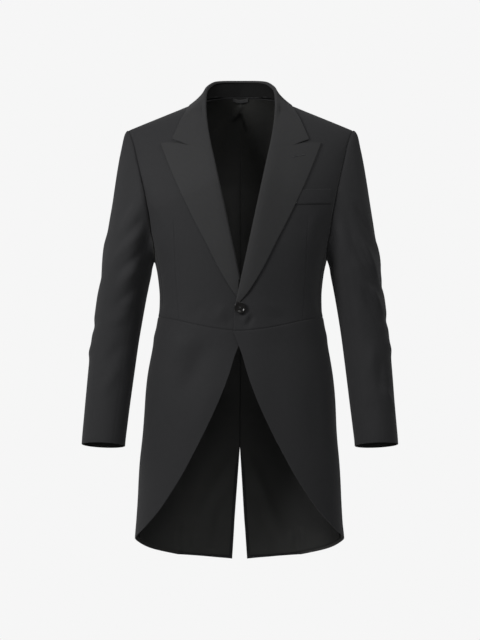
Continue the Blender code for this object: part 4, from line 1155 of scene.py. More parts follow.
@dataclass
class Bodice:
    """The fronts and side bodies, from the shoulders to the waist seam."""

    shop: Wardrobe
    inner_width: float = 125.0
    outer_width: float = 60.0
    chest_length: float = 300.0
    waist_length: float = 165.0
    crowding: float = 1.15
    side_width: float = 160.0
    side_length: float = 150.0
    dart: Table = Table("height across", ((-225, 133), (-330, 130), (-416, 125), (-458, 122)))
    dart_column: float = 0.70
    dart_share_above: float = 0.655
    dart_top: float = -228.0
    dart_fades_over: float = 60.0
    dart_deepens_over: float = 25.0
    dart_half_width: float = 0.9
    front_cut: Cut = Cut(0.260, 0.480, 0.62, ("skirt_left_cloth",))
    side_cut: Cut = Cut(0.190, 0.230, 0.60)

    def columns_by_dart(self, start: float, end: float, height: float) -> Array:
        """Gives a row's places from its front edge to its seam, with one column on the dart."""
        share = self.dart_shares
        reached = min(height, self.dart_top)
        place = (float(self.dart.read("across", reached)) - start) / (end - start)
        above = float(between(height, self.dart_top, self.dart_top + self.dart_fades_over))
        place = place * (1 - above) + self.dart_share_above * above
        middle = self.dart_column
        return np.where(share <= middle, share * place / middle, 1 - (1 - share) * (1 - place) / (1 - middle))

    def front_grid(self) -> tuple[Array, Array]:
        """Gives the front's angles and heights, from the shoulder to the waist seam."""
        pattern, figure = self.shop.pattern, self.shop.figure
        inner = self.shop.lines(self.inner_width) * self.dart_column
        outer = self.dart_column + self.shop.lines(self.outer_width) * (1 - self.dart_column)
        self.dart_shares = np.concatenate([inner, outer[1:]])
        tip, neck = pattern.tip_height(), pattern.neck_point[1]
        rows = []
        for step in self.shop.lines(self.chest_length, True, False) ** self.crowding:
            left = neck + (pattern.front_side_top - neck) * step
            right = tip + (pattern.front_side_top - tip) * step
            start = pattern.front_edge(left)
            end = figure.point(pattern.armhole_angle(right, False), right)[0]
            share = self.columns_by_dart(start, end, (left + right) / 2)
            height = left + (right - left) * share
            rows.append((figure.angle_at(start + (end - start) * share, height), height))
        lowest = pattern.edge_ends_at
        low = float(pattern.waist_height(figure.angle_at(pattern.front_edge(lowest), lowest)))
        for step in self.shop.lines(self.waist_length, False, True)[1:]:
            left = pattern.front_side_top + (low - pattern.front_side_top) * step
            right_angle, right = pattern.side_front_seam(step)
            start, end = pattern.front_edge(left), figure.point(right_angle, right)[0]
            share = self.columns_by_dart(start, end, (left + right) / 2)
            across = start + (end - start) * share
            height = left + (right - left) * share
            line = pattern.waist_height(figure.angle_at(across, height))
            straight = line[0] + (line[-1] - line[0]) * share
            height = height + (line - straight) * step
            rows.append((figure.angle_at(across, height), height))
        return stacked(rows)

    def side_grid(self) -> tuple[Array, Array]:
        """Gives the side body's angles and heights, from the armhole to the waist seam."""
        pattern = self.shop.pattern
        share = self.shop.lines(self.side_width)
        ring_angles, ring_heights = pattern.armhole_ring(600)
        bottom = int(np.argmin(ring_heights))
        begin = int(np.argmin(np.abs(ring_heights[:bottom] - pattern.front_side_top)))
        finish = bottom + int(np.argmin(np.abs(ring_heights[bottom:] - pattern.back_side_top)))
        at = begin + (finish - begin) * share
        top_angle = np.interp(at, np.arange(600), ring_angles)
        top_height = np.interp(at, np.arange(600), ring_heights)
        low_angle = pattern.front_side_waist_angle
        low_angle = low_angle + (pattern.back_side_waist_angle - low_angle) * share
        rows = []
        for step in self.shop.lines(self.side_length):
            front_angle, front_height = pattern.side_front_seam(step)
            back_angle, back_height = pattern.side_back_seam(step)
            angle = top_angle + (low_angle - top_angle) * step
            height = top_height + (pattern.waist_height(low_angle) - top_height) * step
            angle = angle + (front_angle - angle[0]) * (1 - share) + (back_angle - angle[-1]) * share
            height = height + (front_height - height[0]) * (1 - share) + (back_height - height[-1]) * share
            rows.append((angle, height))
        return stacked(rows)

    def build(self) -> None:
        """Makes both fronts and both side bodies."""
        shop, figure = self.shop, self.shop.figure
        for name, side in SIDES:
            angle, height = self.front_grid()
            outer = figure.place(figure.point(angle, height, shop.lift(side)), side)
            outer = creased(outer, side, BODY_CREASES)
            piece = Piece(f"front_{name}", outer, side, first=Edge.FREE, groove=self.dart_groove(outer))
            shop.sew(piece, self.front_cut, shop.wool, shop.lining)
            angle, height = self.side_grid()
            outer = creased(figure.place(figure.point(angle, height), side), side, BODY_CREASES)
            shop.sew(Piece(f"side_body_{name}", outer, side), self.side_cut, shop.wool, shop.lining)

    def dart_groove(self, outer: Array) -> Array:
        """Gives how deep each point lies in the front dart's seam, from 0 to 1."""
        column = int(np.argmin(np.abs(self.dart_shares - self.dart_column)))
        walked = Piece.walked(outer, 1)
        off = np.abs(walked - walked[:, column][:, None])
        deep = between(-outer[..., 2], -self.dart_top, -self.dart_top + self.dart_deepens_over)
        return np.exp(-((off / self.dart_half_width) ** 2)) * deep


@dataclass
class Backs:
    """The two backs, each cut in one with its tail."""

    shop: Wardrobe
    width: float = 205.0
    blade_length: float = 235.0
    crowding: float = 1.2
    waist_length: float = 216.0
    tail_length: float = 500.0
    cut: Cut = Cut(0.260, 0.980, 0.62, ("wearer_shoulders",))

    def grid(self) -> tuple[Array, Array]:
        """Gives the back's angles and heights, from the neck and shoulder to the hem."""
        pattern, figure = self.shop.pattern, self.shop.figure
        share = self.shop.lines(self.width)
        top = pattern.back_top(pattern.shoulder_tip * share)
        bend = top - (top[0] + (top[-1] - top[0]) * share)
        nape, tip = pattern.back_neck.rows[0][1], pattern.tip_height()
        rows = []
        for step in self.shop.lines(self.blade_length, True, False) ** self.crowding:
            right = tip + (pattern.back_side_top - tip) * step
            left = nape + (pattern.back_side_top - nape) * step
            rows.append((left, float(pattern.armhole_angle(right, True)), right, 1 - step))
        for step in self.shop.lines(self.waist_length, False, False)[1:]:
            angle, height = pattern.side_back_seam(step)
            rows.append((float(height), float(angle), float(height), 0.0))
        waist = rows[-1][2]
        for step in self.shop.lines(self.tail_length, False, True)[1:]:
            angle, height = pattern.tail_seam(step)
            rows.append((waist + (pattern.hem_at_vent - waist) * step, float(angle), float(height), 0.0))
        grid = []
        for left, right_angle, right, fade in rows:
            start, finish = pattern.back_edge(left), figure.point(right_angle, right)[0]
            height = left + (right - left) * share + bend * fade
            angle = figure.angle_at(start + (finish - start) * share, height, True)
            angle[-1] = right_angle
            grid.append((angle, height))
        return stacked(grid)

    def build(self) -> None:
        """Makes both backs."""
        shop, figure = self.shop, self.shop.figure
        for name, side in SIDES:
            angle, height = self.grid()
            outer = figure.place(figure.point(angle, height), side)
            outer = creased(outer, -side, BODY_CREASES)[:, ::-1]
            shop.sew(Piece(f"back_{name}", outer, side, bottom=Edge.FREE), self.cut, shop.wool)


@dataclass
class Skirts:
    """The skirts, from the waist seam to the cutaway edge and the hem."""

    shop: Wardrobe
    width: float = 300.0
    length: float = 420.0
    cut: Cut = Cut(0.380, 0.480, 0.60, ("front_left_cloth",))

    def grid(self) -> tuple[Array, Array]:
        """Gives the skirt's angles and heights, from the waist seam down."""
        pattern = self.shop.pattern
        lowest = pattern.edge_ends_at
        start_angle = float(self.shop.figure.angle_at(pattern.front_edge(lowest), lowest))
        end_angle = pattern.back_side_waist_angle
        top = start_angle + (end_angle - start_angle) * self.shop.lines(self.width)
        share = np.sign(top) * (top / end_angle) ** 2
        rows = []
        for step in self.shop.lines(self.length):
            seam_angle, seam_height = pattern.tail_seam(step)
            angle = top + share * (seam_angle - end_angle)
            start = pattern.waist_height(angle)
            height = start + (pattern.hem_height(angle) - start) * step
            height[-1] = seam_height
            rows.append((angle, height))
        return stacked(rows)

    def build(self) -> None:
        """Makes both skirts."""
        shop, figure = self.shop, self.shop.figure
        for name, side in SIDES:
            angle, height = self.grid()
            outer = figure.place(figure.point(angle, height, shop.lift(side)), side)
            outer = creased(outer, side, BODY_CREASES)
            piece = Piece(f"skirt_{name}", outer, side, bottom=Edge.FREE, first=Edge.FREE)
            shop.sew(piece, self.cut, shop.wool, shop.lining)


@dataclass
class Sleeves:
    """Two-piece sleeves set into the armholes."""

    shop: Wardrobe
    ring: int = 150
    arm_length: float = 358.0
    cap_length: float = 150.0
    cap_rows: int = 46
    cap_start: float = 0.24
    cap_end: float = 1.35
    cap_spread: float = 0.35
    cap_lift: float = 0.05
    tucked: float = 2.2
    axis: Point = (0.155, 0.0, -0.988)
    front_seam_height: float = -244.7
    back_seam_height: float = -174.2
    table: Table = Table(
        "height x y half_width half_depth rise_out drop_back",
        (
            (-330, 230, 0, 51, 68, 0.10, 0),
            (-400, 241.5, 1, 49.5, 61, 0.10, 0.03),
            (-470, 251.3, -4, 48, 55, 0.09, 0.07),
            (-540, 259.3, -15, 46.6, 51, 0.08, 0.11),
            (-610, 266.5, -28, 45, 48, 0.06, 0.15),
            (-688, 274, -42, 43.6, 46, 0.037, 0.18),
        ),
    )
    settle: Table = Table(
        "height left right",
        (
            (-52, 2, -0.5), (-92, -1.8, -3.4), (-190, -1.2, -3.8), (-245, -0.2, -2.2),
            (-290, 0.2, -1.4), (-340, 1.4, -0.2), (-390, 1.9, 1), (-440, 1.7, 1.4),
            (-490, 1.1, 1.9), (-550, 0.2, 1.9), (-620, -0.7, 2), (-688, -0.6, 2.1),
        ),
    )
    upper_cut: Cut = Cut(0.230, 0.640, 0.80, ("front_left_cloth",))
    under_cut: Cut = Cut(0.180, 0.500, 0.75, ("front_left_cloth",))

    def arm(self, turn: Array, height: float) -> Array:
        """Gives the sleeve's outer side below the arm, at a place round it and a station's height."""
        values = {name: self.table.read(name, height, 14.0) for name in self.table.columns.split()[1:]}
        dx = values["half_width"] * np.cos(np.radians(turn))
        dy = -values["half_depth"] * np.sin(np.radians(turn))
        z = height + dx * values["rise_out"] - dy * values["drop_back"]
        return np.stack([values["x"] + dx, values["y"] + dy, z], axis=-1)

    def grid(self) -> tuple[Array, Array, Array]:
        """Gives the sleeve's outer side, its places round the arm, and each armhole point's height."""
        figure, pattern = self.shop.figure, self.shop.pattern
        angles, heights = pattern.armhole_ring(self.ring)
        bottom = int(np.argmin(heights))
        count = np.arange(self.ring)
        behind = 180 + 180 * (count - bottom) / (self.ring - bottom)
        turn = np.where(count <= bottom, 180 * count / bottom, behind)
        start = figure.point(angles, heights)
        top_station, low_station = self.table.rows[0][0], self.table.rows[-1][0]
        end = self.arm(turn, float(top_station))
        length = np.linalg.norm(end - start, axis=-1, keepdims=True)
        forward = -self.cap_spread * np.sin(np.radians(turn))
        leave = unit(np.stack([np.ones(self.ring), forward, np.full(self.ring, self.cap_lift)], axis=-1))
        rows = [start - leave * self.tucked]
        for t in spread(self.cap_length, self.cap_length / self.cap_rows, True, False):
            leaving = leave * length * self.cap_start
            arriving = np.array(self.axis) * length * self.cap_end
            hold = start * (1 + 2 * t) * (1 - t) ** 2 + end * t * t * (3 - 2 * t)
            rows.append(hold + leaving * t * (1 - t) ** 2 - arriving * t * t * (1 - t))
        for share in self.shop.lines(self.arm_length, False, True)[1:]:
            rows.append(self.arm(turn, top_station + (low_station - top_station) * share))
        return np.array(rows), turn, heights

    def build(self) -> None:
        """Makes an upper and an under sleeve on each side."""
        shop = self.shop
        base, turn, heights = self.grid()
        bottom = int(np.argmin(heights))
        front = int(np.argmin(np.abs(heights[:bottom] - self.front_seam_height)))
        back = bottom + int(np.argmin(np.abs(heights[bottom:] - self.back_seam_height)))
        for name, side in SIDES:
            outer = base.copy()
            away = ease((np.arange(len(base)) - 1) / (self.cap_rows * 0.35))[:, None]
            outer[..., 0] += self.settle.read(name, base[..., 2]) * away
            placed = shop.figure.place(outer, side)
            outer = outer * np.array([side, 1.0, 1.0])
            outer += (creased(placed, -side, BODY_CREASES) - outer) * (1 - away)[..., None]
            closed = np.concatenate([outer[:, -2:], outer, outer[:, :2]], axis=1)
            moved = creased(closed, -side, SLEEVE_CREASES[name])
            outer = (closed + (moved - closed) * away[..., None])[:, 2:-2]
            under = list(range(front, back + 1))
            upper = list(range(back, self.ring)) + list(range(0, front + 1))
            for part, chosen, cut in (("upper", upper, self.upper_cut), ("under", under, self.under_cut)):
                piece = Piece(f"{part}_sleeve_{name}", outer[:, chosen], -side, top=Edge.DEEP_SEAM)
                piece.seam_row = 1
                piece.bottom = Edge.FREE
                piece.first = piece.last = Edge.FLAT_SEAM
                shop.sew(piece, cut, shop.wool, shop.lining)


@dataclass
class Lapels:
    """The peaked lapels: each rolls out round the front's edge and lies on the chest."""

    shop: Wardrobe
    thickness: float = 2.0
    rest: float = 1.6
    puff: float = 2.3
    puff_rises: float = 8.0
    puff_fades: float = 30.0
    settles_over: float = 42.0
    roll_steps: int = 12
    hook: float = 4.0
    top: Table = Table("across height", ((56, -99.6), (104, -89.2), (133, -83.2), (160.5, -83.4)))
    slit: Pair = (102.0, 108.0)
    slit_closes: Pair = (134.0, 140.0)
    slit_shade: float = 2.4
    slit_reach: float = 1.5
    edge_shadow: float = 1.3
    edge_reach: float = 0.8
    cut: Cut = Cut(0.115, 0.330, 0.60, ("front_left_cloth",))
    edge: Table = Table(
        "height across",
        (
            (-83, 160.5), (-137, 139), (-186, 117.5), (-232, 95.5),
            (-284, 68.5), (-338, 41), (-386, 11), (-404, -4),
        ),
    )
    length: float = 318.0
    width: float = 110.0
    left_ends: Pair = (-401.0, -402.0)
    right_ends: Pair = (-357.0, -393.0)

    def lying(self, beyond: Array, radius: Array) -> Array:
        """Gives how high the lapel's middle lies over the chest, at distances past the roll's middle."""
        beyond = np.maximum(beyond, 0)
        puff = self.puff * (1 - np.exp(-beyond / self.puff_rises)) * np.exp(-beyond / self.puff_fades)
        settle = ease(beyond / self.settles_over)
        full = radius / self.shop.pattern.fold_radius
        return (radius - self.thickness / 2) * (1 - settle) + self.rest * settle + puff * full

    def build(self) -> None:
        """Makes both lapels."""
        shop, figure, pattern = self.shop, self.shop.figure, self.shop.pattern
        top_x, top_z = self.top.column("across"), self.top.column("height")
        for name, side in SIDES:
            end_fold, end_edge = self.left_ends if side > 0 else self.right_ends
            rows = []
            for step in shop.lines(self.length):
                fold_z = top_z[0] + (end_fold - top_z[0]) * step
                edge_z = top_z[-1] + (end_edge - top_z[-1]) * step
                fold_x = float(pattern.roll_line(fold_z))
                edge_x = float(self.edge.read("across", edge_z))
                radius = pattern.fold_radius * max(0.3, float(pattern.fold_size(fold_z)))
                centre = fold_x + radius + self.thickness / 2
                edge_x = max(edge_x, centre + 1.0)
                turns = np.radians(np.linspace(-90, -270, self.roll_steps + 1))
                x = np.concatenate([[centre + self.hook], centre + radius * np.cos(turns)])
                out = np.concatenate([[-radius], radius * np.sin(turns)]) - self.thickness / 2
                run = shop.lines(self.width, False, True)[1:]
                across = centre + (edge_x - centre) * run
                height = fold_z + (edge_z - fold_z) * run
                straight = top_z[0] + (top_z[-1] - top_z[0]) * run
                notch = smooth(top_x, top_z, top_x[0] + (top_x[-1] - top_x[0]) * run) - straight
                height = height + notch * (1 - between(step, 0.0, 0.25))
                x = np.concatenate([x, across])
                z = np.concatenate([np.full(len(turns) + 1, fold_z), height])
                out = np.concatenate([out, self.lying(across - centre, radius)])
                rows.append(figure.over(x, z, out, shop.lift(side)))
            middle = figure.place(np.array(rows), side)
            outer = middle + grid_normals(middle, side) * self.thickness / 2
            piece = Piece(f"lapel_{name}", outer, side, self.thickness)
            piece.top = piece.first = Edge.HIDDEN
            piece.bottom = piece.last = Edge.FREE
            # Painted shadow: the free rims and the outer edge are darkened where the lapel shades the chest,
            # and the slit is darkened too.
            piece.rim_shade, piece.free_shade = 0.0, 2.2
            piece.shade = self.painted_edge_shade(outer)
            shop.sew(piece, self.cut, LAPEL_TWILL_PAINTED_LIGHT)

    def painted_edge_shade(self, outer: Array) -> Array:
        """Paints shadow along the lapel's outer edge, and shade on its top edge where the collar's slit is
        open.
        """
        across, off_centre = Piece.walked(outer, 1), np.abs(outer[..., 0])
        side = np.exp(-(((across[:, -1:] - across) / self.edge_reach) ** 2)) * self.edge_shadow
        opened = between(off_centre, *self.slit) * (1 - between(off_centre, *self.slit_closes))
        return np.maximum(side, self.slit_line(Piece.walked(outer, 0)) * opened)

    def slit_line(self, off: Array) -> Array:
        """Gives the shade at a distance from the edge of the slit between lapel and collar."""
        return np.exp(-((off / self.slit_reach) ** 2)) * self.slit_shade

    def over(self, across: Array, height: Array, clear: float) -> Array:
        """Gives points at a distance over the left lapel's outer side."""
        figure, pattern = self.shop.figure, self.shop.pattern
        centre = pattern.roll_line(height) + pattern.fold_radius + self.thickness / 2
        lying = self.lying(across - centre, np.full(np.shape(across), pattern.fold_radius))
        out = lying + self.thickness / 2 + clear
        return figure.place(figure.over(across, height, out, self.shop.lift(1)), 1)


@dataclass
class Collar:
    """The collar: a stand up from the neck seam and a fall that turns over and lies on the shoulders."""

    shop: Wardrobe
    lapels: Lapels
    radius: float = 2.6
    thickness: float = 2.0
    stand_thickness: float = 1.4
    stand_below: float = 4.4
    stand_rise: float = 2.2
    hook: float = 0.8
    edge_off: float = 1.1
    hump: Point = (1.2, 3.8, 1.3)
    table: Table = Table(
        "row fold_x fold_y fold_z seam_x seam_z edge_x edge_z lean body",
        (
            (-1, -27, 61, 55.8, -30, 19, -42, 3.5, 0.05, 24),
            (0, 0, 66, 56.4, 0, 20, 0, 5, 0.0, 26),
            (1, 27, 61, 55.8, 30, 19, 42, 3.5, 0.05, 24),
            (2, 50, 47, 52.8, 54, 15.3, 76, 1.5, 0.2, 14),
            (3, 62, 30, 44.5, 70, 11.8, 94, 0.5, 0.4, -6),
            (4, 68, 12, 34, 78, 9.4, 101, -1, 0.6, -10),
            (5, 69.5, -8, 18, 78.5, -3, 109, -15, 0.9, -6),
            (6, 69.5, -26, 0, 75.5, -24, 117.5, -32, 1.4, 4),
            (7, 68, -46, -24, 71, -46, 125, -51, 2.2, 10),
            (8, 64.5, -65.5, -54, 66, -66, 131, -66, 3.4, 10),
            (9, 60, -83.6, -80, 62, -80, 134, -73, 3.9, 10),
            (10, 55.5, -94.8, -101.5, 58, -97.6, 135, -76, 4.1, 10),
        ),
    )
    gorge: Table = Table(
        "across height", ((50, -104.6), (56, -104.2), (98, -94.6), (107, -88.8), (133, -78.2), (140, -75.5))
    )
    tucked: float = 1.6
    felling_half: float = 57.0
    felling_line: Pair = (20.9, -1.8)
    felling_radius: float = 0.5
    felling_in: float = 1.4
    fall_ends: float = 10.0
    fall_length: float = 250.0
    fall_width: float = 50.0
    stand_ends: float = 6.6
    stand_length: float = 150.0
    stand_width: float = 33.0
    stand_forward_from: float = 4.0
    turns_forward: Pair = (2.6, 5.2)
    meets_chest: Pair = (4.6, 6.6)
    roll_meets_chest: Pair = (6.7, 8.1)
    meets_lapel: Pair = (8.6, 9.8)
    tucked_until: Pair = (100.0, 106.0)
    pull: float = 0.33
    bulge: Pair = (0.25, 0.28)
    fall_cut: Cut = Cut(0.520, 0.080, 0.72, ("lapel_left_cloth", "lapel_right_cloth"))
    stand_cut: Cut = Cut(0.300, 0.034, 0.80, ("back_left_cloth", "back_right_cloth"))

    def frame(self, at: Array) -> tuple[dict[str, Array], Array, Array, Array]:
        """Gives the table's curves, the fold, the way over it and the way out of it."""
        rows = {name: self.table.read(name, at) for name in self.table.columns.split()[1:]}
        small = 0.05
        fold, after, before = (
            np.stack([self.table.read(name, at + off) for name in ("fold_x", "fold_y", "fold_z")], axis=-1)
            for off in (0.0, small, -small)
        )
        tangent = unit(after - before)
        tangent[np.asarray(at) <= small] = (1.0, 0.0, 0.0)
        over = np.stack([-rows["lean"], np.zeros_like(rows["lean"]), np.ones_like(rows["lean"])], axis=-1)
        over = unit(over - tangent * np.sum(over * tangent, axis=-1, keepdims=True))
        return rows, fold, over, unit(np.cross(over, tangent))

    def edge(self, at: Array, rows: dict[str, Array]) -> Array:
        """Gives the fall's outer edge, a little clear of the shoulder's ridge."""
        figure = self.shop.figure
        across, height = rows["edge_x"], rows["edge_z"]
        blend = between(at, *self.turns_forward)[:, None]
        size, row, reach = self.hump
        off = self.edge_off + size * np.exp(-(((at - row) / reach) ** 2))
        back, front = (figure.over(across, height, off, behind=behind) for behind in (True, False))
        return back * (1 - blend) + front * blend

    def half_fall(self, at: Array, lift: float) -> Array:
        """Gives the middle of one half of the fall: rows over the fold and down, columns along it."""
        figure = self.shop.figure
        rows, fold, over, out = self.frame(at)
        edge = self.edge(at, rows)
        centre = fold - over * (self.radius + self.thickness / 2)
        section = [centre - out * self.radius - over * self.hook]
        turns = np.radians(np.linspace(0, 180, 13))
        for turn in turns:
            section.append(centre - out * self.radius * np.cos(turn) + over * self.radius * np.sin(turn))
        start = section[-1]
        length = np.linalg.norm(edge - start, axis=-1, keepdims=True)
        body = rows["body"][:, None]
        first = start - over * length * self.pull + out * body * self.bulge[0]
        second = edge + unit(start - edge) * length * self.pull + out * body * self.bulge[1]
        for t in spread(self.fall_width, self.shop.step * 0.8, False, True)[1:]:
            keep = 1 - t
            hold = keep**3 * start + 3 * keep**2 * t * first
            section.append(hold + 3 * keep * t * t * second + t**3 * edge)
        section = np.stack(section, axis=0)
        narrowed = self.shop.pattern.fold_radius - 0.2 - self.radius
        radius = self.radius + narrowed * between(at, *self.meets_lapel)
        middle = rows["fold_x"] + radius + self.thickness / 2
        turn = turns[:, None]
        rolls = len(turns) + 1
        across, lower = section[rolls:, :, 0], section[rolls:, :, 2]
        x = np.concatenate([[middle + self.hook], middle - radius * np.sin(turn), across])
        toward_end = between(at, self.fall_ends - 1.0, self.fall_ends)
        lower = lower + (self.gorge.read("height", across) - lower) * toward_end
        z = np.concatenate([np.broadcast_to(rows["fold_z"], (rolls, len(at))), lower])
        lying = self.lapels.lying(across - middle, radius)
        rolled = np.concatenate([[-radius], -radius * np.cos(turn)])
        under = self.tucked * toward_end * (1 - between(across, *self.tucked_until))
        height = np.concatenate([rolled - self.thickness / 2, lying - under])
        chest = figure.over(x, z, height, lift)
        drop = figure.shoulder_height(x) - z
        share = between(at, *self.meets_chest) * ease(drop / figure.ridge_turn)
        share[:rolls] = between(at, *self.roll_meets_chest)
        return section * (1 - share[..., None]) + chest * share[..., None]

    def build(self) -> None:
        """Makes the fall, the stand and its felling."""
        shop = self.shop
        at = self.fall_ends * shop.lines(self.fall_length, False, True)
        middle = doubled(self.half_fall(at, shop.lift(1)), self.half_fall(at, 0.0))
        outer = middle - grid_normals(middle) * self.thickness / 2
        piece = Piece("collar_fall", outer, -1, self.thickness, bottom=Edge.FREE)
        piece.top = piece.first = piece.last = Edge.HIDDEN
        piece.rim_shade = 0.0
        across = np.minimum(Piece.walked(outer, 1), Piece.walked(outer, 1)[:, ::-1])
        # Painted shade along the fall's end where the slit to the lapel is open.
        piece.shade = self.lapels.slit_line(across) * between(np.abs(outer[..., 0]), *self.lapels.slit)
        shop.sew(piece, self.fall_cut, LAPEL_TWILL_PAINTED_LIGHT)
        self.build_stand(self.stand_ends * shop.lines(self.stand_length, False, True))

    def build_stand(self, at: Array) -> None:
        """Makes the stand, and the felling along its lower edge."""
        shop = self.shop
        rows, fold, over, out = self.frame(at)
        figure = shop.figure
        behind = figure.angle_at(rows["seam_x"], rows["seam_z"], True)
        ahead = figure.angle_at(rows["seam_x"], rows["seam_z"])
        seam = figure.point(np.where(at < self.stand_forward_from, behind, ahead), rows["seam_z"])
        top = fold - over * self.stand_below
        seam = seam + unit(top - seam) * self.stand_rise - out * self.thickness / 2
        shares = shop.lines(self.stand_width, False, True)
        half = np.stack([top * (1 - share) + seam * share for share in shares], axis=0)
        middle = doubled(half, half)
        outer = middle - grid_normals(middle) * self.stand_thickness / 2
        piece = Piece("collar_stand", outer, -1, self.stand_thickness, top=Edge.HIDDEN)
        shop.sew(piece, self.stand_cut, STAND_TWILL_PAINTED_SHADE)
        path = outer[-1][np.abs(outer[-1][:, 0]) < self.felling_half]
        path[:, 2] = self.felling_line[0] + self.felling_line[1] * (path[:, 0] / 55) ** 2
        path[:, 1] -= self.felling_in
        shop.hang(tube("neck_felling", path, self.felling_radius, LINING_PAINTED_HIGHLIGHT), "lining")


def tube(name: str, path: Array, radius: float, finish: Finish, closed: bool = False) -> bpy.types.Object:
    """Makes a round thread or cord along points, as one mesh.

    Args:
        name: the object's name.
        path: its points in millimetres.
        radius: its radius in millimetres.
        finish: what it looks like.
        closed: whether its ends meet.

    Returns:
        The object.
    """
    curve = bpy.data.curves.new(name, "CURVE")
    curve.dimensions = "3D"
    curve.bevel_depth = radius * MM
    curve.bevel_resolution = 3
    curve.use_fill_caps = True
    spline = curve.splines.new("POLY")
    spline.points.add(len(path) - 1)
    rows = np.concatenate([np.asarray(path) * MM, np.ones((len(path), 1))], axis=1)
    spline.points.foreach_set("co", rows.astype(np.float32).ravel())
    spline.use_cyclic_u = closed
    cord = bpy.data.objects.new(name, curve)
    bpy.context.scene.collection.objects.link(cord)
    mesh = bpy.data.meshes.new_from_object(cord.evaluated_get(bpy.context.evaluated_depsgraph_get()))
    bpy.data.objects.remove(cord)
    mesh.name = name
    mesh.materials.append(finish.material())
    mesh.shade_smooth()
    return shown(mesh)


LINING_CREASES = drawn(
    Seen.FRONT,
    (((0, 4), (-7, -10), (-19, -24)), 4.2, 2.6, 0.6),
    (((0, 4), (9, -18), (19, -52)), 4.4, 2.8, 0.6),
    (((-30, -10), (-44, -60), (-40, -130)), 9, 1.4),
    (((34, -20), (40, -70), (30, -140)), 10, 1.4),
    (((-24, -150), (-20, -230), (-26, -320)), 9, 1.3),
    (((26, -190), (22, -260), (26, -340)), 8, 1.2),
)

TAIL_LINING_CREASES = drawn(
    Seen.FRONT,
    (((-6, -700), (-38, -762), (-72, -822), (-100, -868)), 15, 4.2, 0, 0.4),
    (((-12, -780), (-38, -842), (-58, -912)), 14, 3.2, 0, 0.6),
    (((8, -700), (36, -772), (66, -846), (96, -904)), 15, 4.4, 0, 0.4),
    (((18, -800), (36, -860), (48, -918)), 14, 3, 0, 0.6),
    (((-122, -862), (-130, -884), (-130, -908)), 5, 2.2, 0, 0.6),
    (((122, -864), (130, -886), (132, -908)), 5, 2, 0, 0.6),
    (((-104, -868), (-110, -888), (-108, -912)), 7, 1.8, 0, 0.6),
    (((104, -872), (108, -892), (106, -914)), 6, 1.6, 0, 0.6),
)


